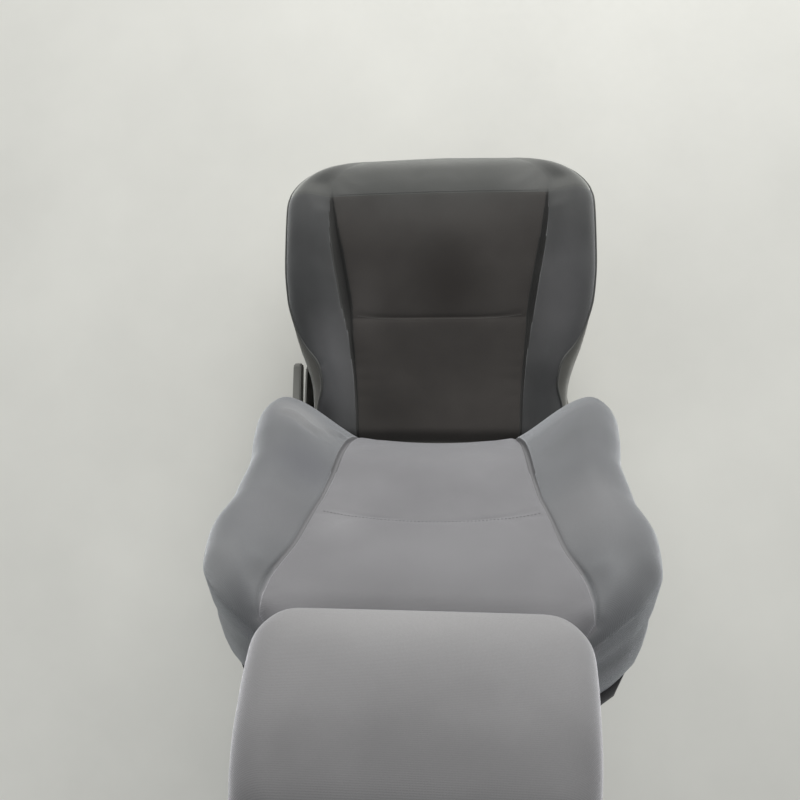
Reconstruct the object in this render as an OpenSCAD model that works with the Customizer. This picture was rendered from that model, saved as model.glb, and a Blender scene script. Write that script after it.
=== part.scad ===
// Reclining front seat: slide rails, welded seat frame, hinged backrest, foam pads with
// fabric covers, height-adjustable head restraint, recliner lever and track release bar.
// Millimetres, +Z up, the occupant faces -Y and the occupant's left is +X.
// The origin is on the floor, in the middle of the four floor bolts.

/* [Posture] */
// Angle of the backrest from the vertical at rest
recline = 20; // [14:1:26]
// Height of the recliner pivot above the floor
pivot_z = 240; // [234:1:252]
// Distance of the recliner pivot behind the middle of the floor bolts
pivot_y = 200; // [190:1:210]

/* [Cushion] */
// Length from the nose to the rear edge
cushion_l = 509; // [480:1:530]
// Reach of the side bolsters outside the middle of the rails, at the widest
cushion_overhang = 65; // [58:1:75]
// Reach of the waist beside the recliners outside the middle of the rails
cushion_waist_overhang = 22; // [18:0.5:24]
// Thickness over the seat pan at the thigh roll
cushion_t = 113; // [100:1:125]
// Rise of the side bolsters above the insert
cushion_bolster_h = 30; // [15:1:40]
// Width of the insert between its seams at the front
cushion_insert_front_w = 372; // [340:2:390]
// Width of the insert between its seams at the rear
cushion_insert_rear_w = 284; // [260:2:310]
// Length of the rounded front corners along the sides
cushion_corner_l = 104; // [60:1:120]
// Width of the rounded front corners across the nose
cushion_corner_w = 156; // [110:1:160]
// Rounding of the front edge
cushion_nose_r = 48; // [30:1:55]
// Depth of the side skirts below the top of the seat pan
cushion_skirt = 13; // [6:1:18]

/* [Backrest] */
// Height of the pad's top above the pivot, along the back
back_top = 618; // [600:1:640]
// Height of the pad's foot above the pivot, along the back
back_foot = 40; // [38:1:46]
// Reach of the lumbar bolsters outside the middle of the rails
back_overhang = 45; // [39:1:53]
// Depth of the lumbar bulge in front of the pivot
back_lumbar = 114; // [104:1:122]
// Height of the bolsters in front of the insert
back_bolster_h = 66; // [45:1:75]
// Width of the insert between its seams at the lumbar
back_insert_w = 242; // [220:2:264]
// Rounding of the pad's outer edges
back_edge_r = 30; // [22:1:34]
// Rounding of the pad's top
back_top_r = 45; // [35:1:50]
// Depth of the pad's rear edge behind the pivot
back_rear = 34; // [32:1:38]

/* [Covers] */
// Thickness of the laminated fabric covers
cover_t = 3; // [2:0.5:4]
// Rest gap between soft pads and the frame that carries them
seat_gap = 0.3; // [0.2:0.1:0.6]

/* [Head restraint] */
// Width of the head restraint pad
head_w = 276; // [240:2:290]
// Height of the head restraint pad
head_h = 185; // [160:1:195]
// Depth of the head restraint pad from front to rear
head_d = 121; // [100:1:124]
// Distance between the two posts, centre to centre
post_pitch = 140; // [126:1:156]
// Diameter of the posts
post_d = 12; // [10:0.5:13]
// Length of post below the pad
post_reach = 200; // [190:1:210]
// Depth of the posts in front of the pivot
post_depth = 28; // [27:0.5:30]

/* [Rails] */
// Distance between the two rails, centre to centre
rail_pitch = 400; // [398:1:402]
// Length of the lower rails
rail_l = 450; // [440:2:460]
// Length of the upper rails
upper_rail_l = 420; // [410:2:430]
// Width of the lower rail section
rail_w = 44; // [42:1:46]
// Height of the lower rail section
rail_h = 24; // [23:0.5:26]
// Sheet thickness of the rails
rail_t = 2; // [1.6:0.1:2.4]
// Distance between front and rear floor bolts
bolt_pitch_y = 496; // [488:2:510]
// Diameter of the floor bolt holes
bolt_hole_d = 11; // [9:0.5:13]
// Height of the feet under the rails
foot_h = 18; // [15:1:20]

/* [Frame] */
// Top of the seat pan above the floor
pan_z = 225; // [220:1:230]
// Sheet thickness of the seat side members
side_t = 3; // [2:0.5:3.5]
// Outer face of the seat side members from the middle of the rails
side_offset = 7; // [6:0.5:9]
// Step in from the seat side members to the backrest side members
back_side_step = 18; // [17:0.5:20]
// Diameter of the recliner discs
recliner_d = 76; // [66:1:84]
// Diameter of the rod that joins the two recliners
rod_d = 10; // [8:0.5:12]
// Outer face of the outboard side shield from the side member's
shield_out_step = 36; // [35:0.5:39]
// Outer face of the inboard side shield from the side member's
shield_in_step = 23; // [22:0.5:25]

/* [Controls] */
// Length of the recliner lever from its hub to its tip
lever_l = 176; // [150:1:190]
// Height of the lever blade at its middle
lever_h = 24; // [18:1:28]
// Diameter of the track release bar
bar_d = 10; // [8:0.5:12]
// Gap from the release bar's arms to the brackets that carry them
bar_inset = 26; // [24:0.5:28]

/* [Hidden] */

// Running clearances
shaft_gap = 0.08;
plate_gap = 0.3;

// Widths that follow the rails
cushion_w = rail_pitch + 2 * cushion_overhang;
cushion_waist_w = rail_pitch + 2 * cushion_waist_overhang;
back_w = rail_pitch + 2 * back_overhang;
side_x = rail_pitch / 2 + side_offset;
back_side_x = side_x - back_side_step;
shield_out_x = side_x + shield_out_step;
shield_in_x = side_x + shield_in_step;

// ---------------------------------------------------------------- helpers

// Slope between two knots, and the tangent of a monotone curve at a knot
function slope(k, i) = (k[i + 1][1] - k[i][1]) / (k[i + 1][0] - k[i][0]);
function tangent(k, i) =
    i == 0 ? slope(k, 0) :
    i == len(k) - 1 ? slope(k, i - 1) :
    slope(k, i - 1) * slope(k, i) <= 0 ? 0 :
    2 * slope(k, i - 1) * slope(k, i) / (slope(k, i - 1) + slope(k, i));

// Smooth curve through the knots [place, value], held level beyond its ends
function span(k, x, i = 0) = i >= len(k) - 2 || x < k[i + 1][0] ? i : span(k, x, i + 1);
function curve(k, place) =
    let(x = min(max(place, k[0][0]), k[len(k) - 1][0]),
        i = span(k, x),
        h = k[i + 1][0] - k[i][0],
        u = (x - k[i][0]) / h)
    (2 * u * u * u - 3 * u * u + 1) * k[i][1] + (u * u * u - 2 * u * u + u) * h * tangent(k, i)
    + (3 * u * u - 2 * u * u * u) * k[i + 1][1] + (u * u * u - u * u) * h * tangent(k, i + 1);

// Drop of a rounded edge of radius r at distance d from the edge
function edge_drop(d, r) = let(e = min(max(d, 0), r)) r - sqrt(r * r - (r - e) * (r - e));

// Outline with every corner rounded: points are [x, y, radius]
function corner_arc(a, b, c, r) =
    let(u = (a - b) / norm(a - b), v = (c - b) / norm(c - b),
        half = acos(u * v) / 2,
        cut = r / tan(half),
        mid = b + (u + v) / norm(u + v) * r / sin(half),
        from = b + u * cut - mid,
        turn = cross(u, v) > 0 ? -1 : 1,
        sweep = (180 - 2 * half) * turn,
        steps = max(2, ceil(abs(sweep) / 12)))
    [for (k = [0:steps]) let(q = sweep * k / steps)
        mid + [from.x * cos(q) - from.y * sin(q), from.x * sin(q) + from.y * cos(q)]];
function rounded(p) = [for (i = [0:len(p) - 1])
    let(a = p[(i + len(p) - 1) % len(p)], b = p[i], c = p[(i + 1) % len(p)])
    each b[2] > 0
        ? corner_arc([a[0], a[1]], [b[0], b[1]], [c[0], c[1]], b[2])
        : [[b[0], b[1]]]];

// Faces of a skin over two grids of rows x cols, joined through the rings between their rims
function grid_faces(rows, cols, base, outer) = [for (j = [0:rows - 2]) for (i = [0:cols - 2])
    let(a = base + j * cols + i, b = a + 1, d = a + cols, c = d + 1)
    each outer ? [[a, d, c], [a, c, b]] : [[a, c, d], [a, b, c]]];
function rim(rows, cols) = concat(
    [for (i = [0:cols - 1]) i],
    [for (j = [1:rows - 1]) j * cols + cols - 1],
    [for (i = [cols - 2:-1:0]) (rows - 1) * cols + i],
    [for (j = [rows - 2:-1:1]) j * cols]);
function wall_faces(a, b, turned) = [for (k = [0:len(a) - 1]) let(m = (k + 1) % len(a))
    each turned ? [[a[k], a[m], b[k]], [a[m], b[m], b[k]]] : [[a[k], a[m], b[m]], [a[k], b[m], b[k]]]];
function flat(rows) = [for (r = rows) each r];

// Closed solid between the outer grid, the rings and the inner grid. Walls from number `turned`
// on are split along the other diagonal, so that a cover's inside meets its foam face to face
module skin(outer, inner, rings = [], turned = 99) {
    rows = len(outer);
    cols = len(outer[0]);
    n = rows * cols;
    edge = rim(rows, cols);
    m = len(edge);
    loops = concat(
        [edge],
        [for (r = [0:1:len(rings) - 1]) [for (k = [0:m - 1]) 2 * n + r * m + k]],
        [[for (e = edge) n + e]]);
    polyhedron(
        points = concat(flat(outer), flat(inner), flat(rings)),
        faces = concat(
            grid_faces(rows, cols, 0, true),
            grid_faces(rows, cols, n, false),
            [for (r = [0:len(loops) - 2]) each wall_faces(loops[r], loops[r + 1], r >= turned)]),
        convexity = 8);
}
function rim_points(grid) = let(p = flat(grid)) [for (e = rim(len(grid), len(grid[0]))) p[e]];

// Columns across a pad as [share of the insert, share of the bolster], mirrored
half_columns = [[0.5, 0], [1, 0], [1, 0.16], [1, 0.35], [1, 0.55], [1, 0.78], [1, 0.92], [1, 1]];
columns = concat(
    [for (i = [len(half_columns) - 1:-1:0]) [-1, half_columns[i]]],
    [[1, [0, 0]]],
    [for (c = half_columns) [1, c]]);

// Places children in the backrest's own frame: +Z up the back, +Y to the rear
module torso() translate([0, pivot_y, pivot_z]) rotate([-recline, 0, 0]) children();
// A cylinder across the seat from one x to another, at [y, z]
module across(x0, x1, at, r) translate([x0, at[0], at[1]]) rotate([0, 90, 0]) cylinder(r = r, h = x1 - x0, $fn = 48);
// An outline in the [y, z] plane, given thickness across the seat from one x to another
module sheet_across(x0, x1) translate([x0, 0, 0]) rotate([90, 0, 90]) linear_extrude(x1 - x0) children();
// Both sides of the seat
module both_sides() {
    children();
    mirror([1, 0, 0]) children();
}
module box(lo, hi) translate(lo) cube(hi - lo);

// ---------------------------------------------------------------- cushion form

cushion_rear_y = pivot_y - 30;
cushion_front_y = cushion_rear_y - cushion_l;
cushion_rows = [0, 0.008, 0.024, 0.05, 0.085, 0.13, 0.185, 0.25, 0.32, 0.4, 0.48, 0.56, 0.64, 0.71,
    0.78, 0.86, 0.93, 0.975, 1];
// Shares of the length against shares of the size each curve describes
cushion_side_k = [[0, 0.98], [0.32, 0.996], [0.41, 1], [0.515, 0.989], [0.593, 0.962], [0.672, 0.921],
    [0.741, 0.875]];
cushion_top_k = [[0, 0.86], [0.073, 0.965], [0.16, 1], [0.24, 0.99], [0.4, 0.895], [0.58, 0.735],
    [0.79, 0.593], [0.9, 0.568], [1, 0.55]];
cushion_bolster_k = [[0, 0], [0.083, 0.33], [0.16, 0.66], [0.32, 0.9], [0.515, 1], [0.71, 0.93],
    [0.85, 0.6], [1, 0.25]];
cushion_insert_k = [[0, 0], [0.12, 0.02], [0.23, 0.1], [0.58, 0.68], [0.9, 0.98], [1, 1]];
cushion_crown = 5;
cushion_edge_r = 34;
cushion_rear_r = 26;
cushion_tuck = 22;
bolster_crest = 0.42;

function cushion_half(v) =
    curve(concat([for (k = cushion_side_k) [k[0], k[1] * cushion_w / 2]],
        [[0.829, cushion_waist_w / 2 + 1], [1, cushion_waist_w / 2]]), v)
    - cushion_corner_w * (1 - sqrt(1 - pow(1 - min(v * cushion_l / cushion_corner_l, 1), 2)));
function cushion_insert(v) =
    min(cushion_insert_front_w
        - (cushion_insert_front_w - cushion_insert_rear_w) * curve(cushion_insert_k, v),
        1.5 * cushion_half(v)) / 2;
// Height of the cover over the pan at length share v, x from the middle
function cushion_over(v, x) =
    let(w = cushion_half(v), xi = cushion_insert(v), ax = abs(x),
        rise = min(max((ax - xi) / (bolster_crest * (w - xi)), 0), 1))
    cushion_t * curve(cushion_top_k, v)
    - cushion_crown * pow(min(ax / xi, 1), 2)
    + cushion_bolster_h * curve(cushion_bolster_k, v) * sin(rise * 90)
    - edge_drop(w - ax, cushion_edge_r)
    - edge_drop(v * cushion_l, cushion_nose_r)
    - edge_drop((1 - v) * cushion_l, cushion_rear_r);
function column_x(c, xi, w) = c[0] * (c[1][0] * xi + c[1][1] * (w - xi));
// Point at length share v and column c, inset by g, at height z or on the surface
function cushion_point(v, c, g, tuck = 0, z = undef) =
    let(w = cushion_half(v), x = column_x(c, cushion_insert(v), w), shrink = (w - g - tuck) / w,
        y = cushion_front_y + g + tuck * (1 - v) + v * (cushion_l - 2 * g - tuck))
    [x * shrink, y, z == undef ? pan_z + cushion_over(v, x) - g : z];
function cushion_grid(g, tuck = 0, z = undef) =
    [for (v = cushion_rows) [for (c = columns) cushion_point(v, c, g, tuck, z)]];
cushion_shoulder_z = pan_z + 4;
cushion_hem_z = pan_z - cushion_skirt;

cushion_nose_wall = 42;
cut_past = 20; // how far a cut runs beyond the piece it opens
// Room for the frame under the cushion and for the recliners at its rear corners
module cushion_cavity() {
    frame_half = side_x + seat_gap + 1;
    box([-frame_half, cushion_front_y + cushion_nose_wall, cushion_hem_z - cut_past],
        [frame_half, cushion_rear_y + cut_past, pan_z + seat_gap]);
    both_sides() across(back_side_x - back_flange - 4, frame_half, [pivot_y, pivot_z], member_eye_r + 4);
}

module cushion_foam() color([0.78, 0.72, 0.5]) difference() {
    skin(cushion_grid(cover_t), cushion_grid(cover_t, cushion_tuck, cushion_hem_z),
        [rim_points(cushion_grid(cover_t, 0, cushion_shoulder_z))]);
    cushion_cavity();
}

module cushion_cover() color([0.22, 0.215, 0.21]) difference() {
    skin(cushion_grid(0), cushion_grid(cover_t), [
        rim_points(cushion_grid(0, 0, cushion_shoulder_z)),
        rim_points(cushion_grid(0, cushion_tuck, cushion_hem_z)),
        rim_points(cushion_grid(cover_t, cushion_tuck, cushion_hem_z)),
        rim_points(cushion_grid(cover_t, 0, cushion_shoulder_z))], 3);
    cushion_cavity();
}

// ---------------------------------------------------------------- backrest form

back_rows = [0, 0.028, 0.055, 0.076, 0.097, 0.125, 0.164, 0.208, 0.26, 0.32, 0.384, 0.45, 0.519, 0.588, 0.657,
    0.727, 0.796, 0.848, 0.896, 0.934, 0.964, 0.984, 1];
// Height above the pivot against share of the size each curve describes
back_side_k = [[0, 0.752], [0.055, 0.76], [0.076, 0.935], [0.156, 0.98], [0.26, 1], [0.363, 0.995],
    [0.467, 0.962], [0.571, 0.924], [0.675, 0.924], [0.761, 0.962], [0.83, 0.945], [0.882, 0.86],
    [0.926, 0.745], [0.969, 0.59], [1, 0.46]];
back_depth_k = [[0, 0.28], [0.035, 0.44], [0.104, 0.56], [0.19, 0.74], [0.277, 0.885], [0.363, 0.975],
    [0.45, 1], [0.571, 0.947], [0.675, 0.886], [0.796, 0.807], [0.882, 0.76], [1, 0.7]];
back_bolster_k = [[0, 0], [0.076, 0.18], [0.121, 0.52], [0.19, 0.88], [0.26, 1], [0.346, 0.94], [0.45, 0.79],
    [0.554, 0.64], [0.657, 0.52], [0.756, 0.41], [0.848, 0.24], [0.917, 0.12], [1, 0]];
back_insert_k = [[0, 0.983], [0.26, 1], [0.4, 1.015], [0.571, 1.033], [0.664, 1.08], [0.77, 1.15],
    [0.835, 1.215], [0.893, 1.27], [1, 1.3]];
back_crest_k = [[0, 0.93], [0.26, 0.93], [0.502, 0.92], [0.756, 0.84], [1, 0.75]];
back_dish = 9.5;
back_dish_k = [[0.277, 1], [1, 0.3]];
back_crest_min = 26;
back_rear_r = 20;
back_wall_draw = 12;
back_shoulder = -14;

function back_half(u) = curve(back_side_k, u) * back_w / 2;
function back_insert(u) = min(curve(back_insert_k, u) * back_insert_w / 2, 0.88 * back_half(u));
// Depth of the cover in front of the pivot at height share u, x from the middle
function back_over(u, x) =
    let(w = back_half(u), xi = back_insert(u), ax = abs(x), crest = curve(back_crest_k, u) * w,
        rise = min(max((ax - xi) / max(crest - xi, back_crest_min), 0), 1))
    back_lumbar * curve(back_depth_k, u)
    + back_dish * curve(back_dish_k, u) * pow(min(ax / xi, 1), 2)
    + back_bolster_h * curve(back_bolster_k, u) * pow(sin(rise * 90), 1.35)
    - edge_drop(w - ax, back_edge_r)
    - edge_drop((1 - u) * (back_top - back_foot), back_top_r);
// Point at height share u and column c, inset by g, at depth n or on the surface
function back_point(u, c, g, tuck = 0, n = undef) =
    let(w = back_half(u), x = column_x(c, back_insert(u), w), shrink = (w - g - tuck) / w,
        z = back_foot + g + u * (back_top - back_foot - 2 * g - tuck))
    [x * shrink, -(n == undef ? back_over(u, x) - g : n), z];
function back_grid(g, tuck = 0, n = undef) =
    [for (u = back_rows) [for (c = columns) back_point(u, c, g, tuck, n)]];

back_frame_depth = 22;
frame_top = back_top - 86;
cavity_half = back_side_x + 9;
guide_r = 11.5;
channel_w = 2 * guide_r + 4;
// Room for the frame behind the pad, and for the posts and their guides
module back_cavity() {
    translate([0, back_rear + 30, 0]) rotate([90, 0, 0]) linear_extrude(back_rear + 30 + back_frame_depth)
        polygon([[-cavity_half, back_foot - 30], [cavity_half, back_foot - 30], [cavity_half, frame_top - 20],
            [cavity_half - 6, frame_top], [-cavity_half + 6, frame_top], [-cavity_half, frame_top - 20]]);
    both_sides()
        box([post_pitch / 2 - channel_w / 2, -post_depth - channel_w / 2, post_low - 12],
            [post_pitch / 2 + channel_w / 2, 0, frame_top]);
}
module post_holes(r, from) both_sides()
    translate([post_pitch / 2, -post_depth, from]) cylinder(r = r, h = back_top - from + cut_past, $fn = 48);

module backrest_foam() color([0.78, 0.72, 0.5]) torso() difference() {
    skin(back_grid(cover_t), back_grid(cover_t, back_rear_r, -back_rear),
        [rim_points(back_grid(cover_t, back_wall_draw, back_shoulder))]);
    back_cavity();
    post_holes(guide_r + seat_gap, frame_top - 10);
}

module backrest_cover() color([0.52, 0.52, 0.53]) torso() difference() {
    skin(back_grid(0), back_grid(cover_t), [
        rim_points(back_grid(0, back_wall_draw, back_shoulder)),
        rim_points(back_grid(0, back_rear_r, -back_rear)),
        rim_points(back_grid(cover_t, back_rear_r, -back_rear)),
        rim_points(back_grid(cover_t, back_wall_draw, back_shoulder))], 3);
    back_cavity();
    post_holes(guide_r + seat_gap, frame_top - 10);
}

// Moulded back panel, crowned to the rear, with a turned edge
panel_t = 2.5;
panel_crown = 7;
panel_inset = 6;
panel_rows = [0.01, 0.035, 0.059, 0.09, 0.138, 0.242, 0.346, 0.467, 0.588, 0.709, 0.813, 0.879, 0.931, 0.965,
    0.979];
panel_cols = [-1, -0.94, -0.8, -0.5, 0, 0.5, 0.8, 0.94, 1];
panel_fade = 0.1;
function panel_grid(out) = [for (u = panel_rows) [for (s = panel_cols)
    [s * panel_half(u), panel_y(u, s) + out, back_foot + u * (back_top - back_foot)]]];
function panel_half(u) = back_half(u) - panel_inset - back_rear_r;
function panel_y(u, s) =
    let(end = min((u - panel_rows[0]) / panel_fade, (panel_rows[len(panel_rows) - 1] - u) / panel_fade, 1))
    back_rear + seat_gap + panel_crown * (1 - pow(abs(s), 4)) * sin(end * 90);
module back_panel() color([0.14, 0.14, 0.145]) torso()
    skin(panel_grid(0), panel_grid(panel_t));

// ---------------------------------------------------------------- backrest frame

back_side_t = 3;
back_flange = 18;
back_frame_t = frame_top - 3;
rod_r = rod_d / 2;
rod_bore = rod_r + shaft_gap;
eye_r = 42;

// C-section side member with a pivot eye and lightening holes, for the +X side
module back_side_member() {
    front = -back_frame_depth + seat_gap;
    x1 = back_side_x;
    difference() {
        union() {
            sheet_across(x1 - back_side_t, x1) {
                polygon(rounded([[front, 20, 0], [back_rear - 4, 20, 0], [back_rear - 2, 120, 30],
                    [back_rear - 2, back_frame_t, 8], [front, back_frame_t, 8]]));
                circle(r = eye_r, $fn = 64);
            }
            box([x1 - back_flange, front, 60], [x1, front + back_side_t, back_frame_t - 10]);
            box([x1 - back_flange, back_rear - 2 - back_side_t, 130], [x1, back_rear - 2, back_frame_t - 10]);
        }
        across(x1 - 30, x1 + 5, [0, 0], rod_bore);
        for (t = [150:70:430]) across(x1 - 10, x1 + 5, [6, t], 13);
    }
}
module back_side_member_left() color([0.1, 0.1, 0.11]) torso() back_side_member();
module back_side_member_right() color([0.1, 0.1, 0.11]) torso() mirror([1, 0, 0]) back_side_member();

// Upper tube between the side members
upper_tube_r = 13;
upper_tube_depth = 3.5;
upper_tube_t = frame_top - 28;
module back_upper_tube() color([0.1, 0.1, 0.11]) torso() difference() {
    reach = back_side_x - back_side_t;
    across(-reach, reach, [-upper_tube_depth, upper_tube_t], upper_tube_r);
    across(-reach - 1, reach + 1, [-upper_tube_depth, upper_tube_t], upper_tube_r - 1.8);
}

// Guide tubes welded to the upper tube, mitred to its round
sleeve_r = 9;
guide_low = frame_top - 84;
module headrest_guide_tubes() color([0.1, 0.1, 0.11]) torso() difference() {
    both_sides() translate([post_pitch / 2, -post_depth, guide_low]) difference() {
        cylinder(r = guide_r, h = frame_top + 10 - guide_low, $fn = 64);
        translate([0, 0, -1]) cylinder(r = sleeve_r + shaft_gap, h = frame_top + cut_past - guide_low, $fn = 64);
    }
    across(-back_side_x, back_side_x, [-upper_tube_depth, upper_tube_t], upper_tube_r);
}

// Pressed channel across the foot of the backrest
module back_lower_crossmember() color([0.1, 0.1, 0.11]) torso() {
    reach = back_side_x - back_side_t;
    t0 = 66;
    t1 = 112;
    front = -8;
    rear = 26;
    wall = 2;
    sheet_across(-reach, reach) difference() {
        polygon(rounded([[front, t0, 6], [rear, t0, 6], [rear, t1, 6], [front, t1, 6]]));
        polygon(rounded([[front - 10, t0 + wall, 0], [rear - wall, t0 + wall, 4], [rear - wall, t1 - wall, 4],
            [front - 10, t1 - wall, 0]]));
    }
}

// Wire mat that carries the back foam, hooked to the side members
mat_wire_r = 1.8;
mat_low = 150;
mat_high = 400;
mat_pitch = 50;
module back_suspension_mat() color([0.45, 0.45, 0.46]) torso() {
    n = back_frame_depth - seat_gap - mat_wire_r - back_side_t;
    reach = back_side_x - back_side_t;
    for (t = [mat_low:mat_pitch:mat_high]) across(-reach, reach, [-n, t], mat_wire_r);
    both_sides() for (x = [0.2, 0.6] * reach) translate([x, -n, mat_low - 14])
        cylinder(r = mat_wire_r + 0.4, h = mat_high - mat_low + 28, $fn = 24);
}

// ---------------------------------------------------------------- recliners

recliner_r = recliner_d / 2;
disc_in = back_side_x;
disc_out = side_x - side_t;
disc_mid = (disc_in + disc_out) / 2;
module recliner_rivet_holes(x0, x1, ring, r) for (a = [0:60:300])
    across(x0, x1, [ring * cos(a), ring * sin(a)], r);

// Moving halves on the backrest
module recliner_moving_discs() color([0.6, 0.6, 0.62]) torso() both_sides() difference() {
    union() {
        across(disc_in, disc_mid - plate_gap, [0, 0], recliner_r - 3);
        across(disc_in, disc_in + 2.5, [0, 0], recliner_r);
    }
    across(disc_in - 1, disc_out + 1, [0, 0], rod_bore);
}
// Fixed halves on the seat, with the rim that wraps the moving half
module recliner_fixed_discs() color([0.66, 0.63, 0.55])
    translate([0, pivot_y, pivot_z]) both_sides() difference() {
        across(disc_in + 2.5 + plate_gap, disc_out, [0, 0], recliner_r);
        across(disc_in, disc_mid, [0, 0], recliner_r - 3 + plate_gap);
        across(disc_in - 1, disc_out + 1, [0, 0], rod_bore);
    }
// Rivets through the backrest side members into the moving halves
module recliner_rivets() color([0.75, 0.75, 0.76]) torso() both_sides() for (a = [30:60:330])
    across(back_side_x - back_side_t - 2, back_side_x - back_side_t, [24 * cos(a), 24 * sin(a)], 4);
// Rod that carries the lever's turn to the far recliner
rod_end = shield_out_x + 20;
module recliner_cross_rod() color([0.7, 0.7, 0.72]) translate([0, pivot_y, pivot_z])
    across(-side_x - 4, rod_end, [0, 0], rod_r);

// Flat spiral springs that fold the backrest forward
spiral_in = rod_r + 0.3;
spiral_out = 30;
spiral_turns = 3.5;
spiral_t = 1.6;
module recliner_springs() color([0.3, 0.3, 0.32]) translate([0, pivot_y, pivot_z]) both_sides()
    sheet_across(back_side_x - back_side_t - 9.3, back_side_x - back_side_t - 2.3) {
        steps = spiral_turns * 20;
        polygon(concat(
            [for (k = [0:steps]) let(a = 360 * spiral_turns * k / steps,
                r = spiral_in + (spiral_out - spiral_in) * k / steps) [r * cos(a), r * sin(a)]],
            [for (k = [steps:-1:0]) let(a = 360 * spiral_turns * k / steps,
                r = spiral_in + spiral_t + (spiral_out - spiral_in) * k / steps) [r * cos(a), r * sin(a)]]));
    }

// Moulded lever: a hub on the rod and a tapering blade with a thumb hollow
lever_x0 = shield_out_x + 9;
lever_t = 14;
lever_dip = 6;
module lever_blade(inset) polygon(rounded([
    [12, -14 + inset, 8], [-40, -11 + inset, 60], [-lever_l + inset, -2 - lever_dip, 7],
    [-lever_l + inset, lever_h - lever_dip - 4, 9], [-lever_l * 0.5, lever_h - 4 - inset, 80], [12, 15 - inset, 8]]));
module recliner_lever() color([0.45, 0.45, 0.42]) translate([0, pivot_y, pivot_z]) difference() {
    union() {
        sheet_across(lever_x0 + 2, lever_x0 + lever_t - 2) lever_blade(0);
        sheet_across(lever_x0, lever_x0 + lever_t) lever_blade(2);
        across(shield_out_x + 1.5, lever_x0 + lever_t, [0, 0], 17);
    }
    across(shield_out_x, rod_end + shaft_gap, [0, 0], rod_r + 0.02);
}

// ---------------------------------------------------------------- head restraint

head_gap = 12;
head_base = back_top + head_gap;
post_r = post_d / 2;
post_low = head_base - post_reach;
post_top = head_base + 118;
post_bend = 16;
head_rows = [0, 0.03, 0.08, 0.17, 0.36, 0.55, 0.74, 0.87, 0.95, 1];
head_cols = [-1, -0.95, -0.86, -0.7, -0.4, 0, 0.4, 0.7, 0.86, 0.95, 1];
head_side_k = [[0, 0.8], [0.027, 0.885], [0.076, 0.957], [0.173, 1], [0.3, 0.985], [0.45, 0.957],
    [0.65, 0.915], [0.84, 0.85], [0.946, 0.755], [1, 0.615]];
head_front_k = [[0, 0.983], [0.11, 1], [0.32, 0.966], [0.6, 0.881], [0.81, 0.763], [1, 0.627]];
head_rear_k = [[0, 0.102], [0.11, 0.034], [0.32, 0], [0.6, 0.034], [0.81, 0.102], [1, 0.237]];
head_rear_depth = post_depth - 32;
head_edge_r = 26;
head_foot_r = 14;
head_top_r = 30;
function head_half(h) = curve(head_side_k, h) * head_w / 2;
function head_point(h, s, g, front) =
    let(w = head_half(h), x = s * w,
        f = head_rear_depth + head_d * curve(head_front_k, h),
        r = head_rear_depth + head_d * curve(head_rear_k, h), mid = (f + r) / 2,
        drop = edge_drop(w - abs(x), head_edge_r) + edge_drop(h * head_h, head_foot_r)
            + edge_drop((1 - h) * head_h, head_top_r),
        n = front ? max(f - drop - g, mid + 5 - g) : min(r + drop + g, mid - 5 + g))
    [x * (w - g) / w, -n, head_base + g + h * (head_h - 2 * g)];
module head_form(g) skin(
    [for (h = head_rows) [for (s = head_cols) head_point(h, s, g, true)]],
    [for (h = head_rows) [for (s = head_cols) head_point(h, s, g, false)]]);

// One bent bar: two posts and the bridge between them inside the pad
module post_bar(r, extra) {
    bridge = post_pitch / 2 - post_bend;
    both_sides() {
        translate([post_pitch / 2, -post_depth, post_low - extra])
            cylinder(r = r, h = post_top - post_bend - post_low + extra, $fn = 48);
        translate([bridge, -post_depth, post_top - post_bend]) rotate([90, 0, 0])
            rotate_extrude(angle = 90, $fn = 48) translate([post_bend, 0]) circle(r = r, $fn = 48);
    }
    across(-bridge, bridge, [-post_depth, post_top], r);
}
// Chromed bar with rounded feet and lock notches on the locking side
notch_pitch = 20;
notch_depth = 1.8;
module headrest_posts() color([0.8, 0.8, 0.82]) torso() difference() {
    union() {
        post_bar(post_r, 0);
        both_sides() translate([post_pitch / 2, -post_depth, post_low]) sphere(r = post_r, $fn = 48);
    }
    for (k = [0:3]) let(t = back_top - 4 - k * notch_pitch)
        box([post_pitch / 2 + post_r - notch_depth, -post_depth - 8, t - 2], [post_pitch / 2 + 8, -post_depth + 8, t + 2]);
}

core_half = 92;
core_low = head_base + 1;
core_high = head_base + head_h - 46;
module core_block(g) {
    translate([0, -post_depth - 8, 0]) rotate([90, 0, 0]) translate([0, 0, -22 - g])
        linear_extrude(44 + 2 * g)
            polygon(rounded([[-core_half - g, core_low - g, 6], [core_half + g, core_low - g, 6],
                [core_half - 10 + g, core_high + g, 18], [-core_half + 10 - g, core_high + g, 18]]));
}
// Moulded plastic core clamped round the bar
module headrest_core() color([0.16, 0.16, 0.17]) torso() difference() {
    core_block(0);
    post_bar(post_r + 0.02, 1);
}
module headrest_foam() color([0.78, 0.72, 0.5]) torso() difference() {
    head_form(cover_t);
    core_block(seat_gap);
    box([-core_half + 12, -post_depth - 26, head_base - 1], [core_half - 12, -post_depth + 10, head_base + 12]);
}
module headrest_cover() color([0.58, 0.58, 0.59]) torso() difference() {
    head_form(0);
    head_form(cover_t);
    box([-core_half - seat_gap, -post_depth - 30 - seat_gap, head_base - 1],
        [core_half + seat_gap, -post_depth + 14 + seat_gap, head_base + 8]);
}

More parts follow.
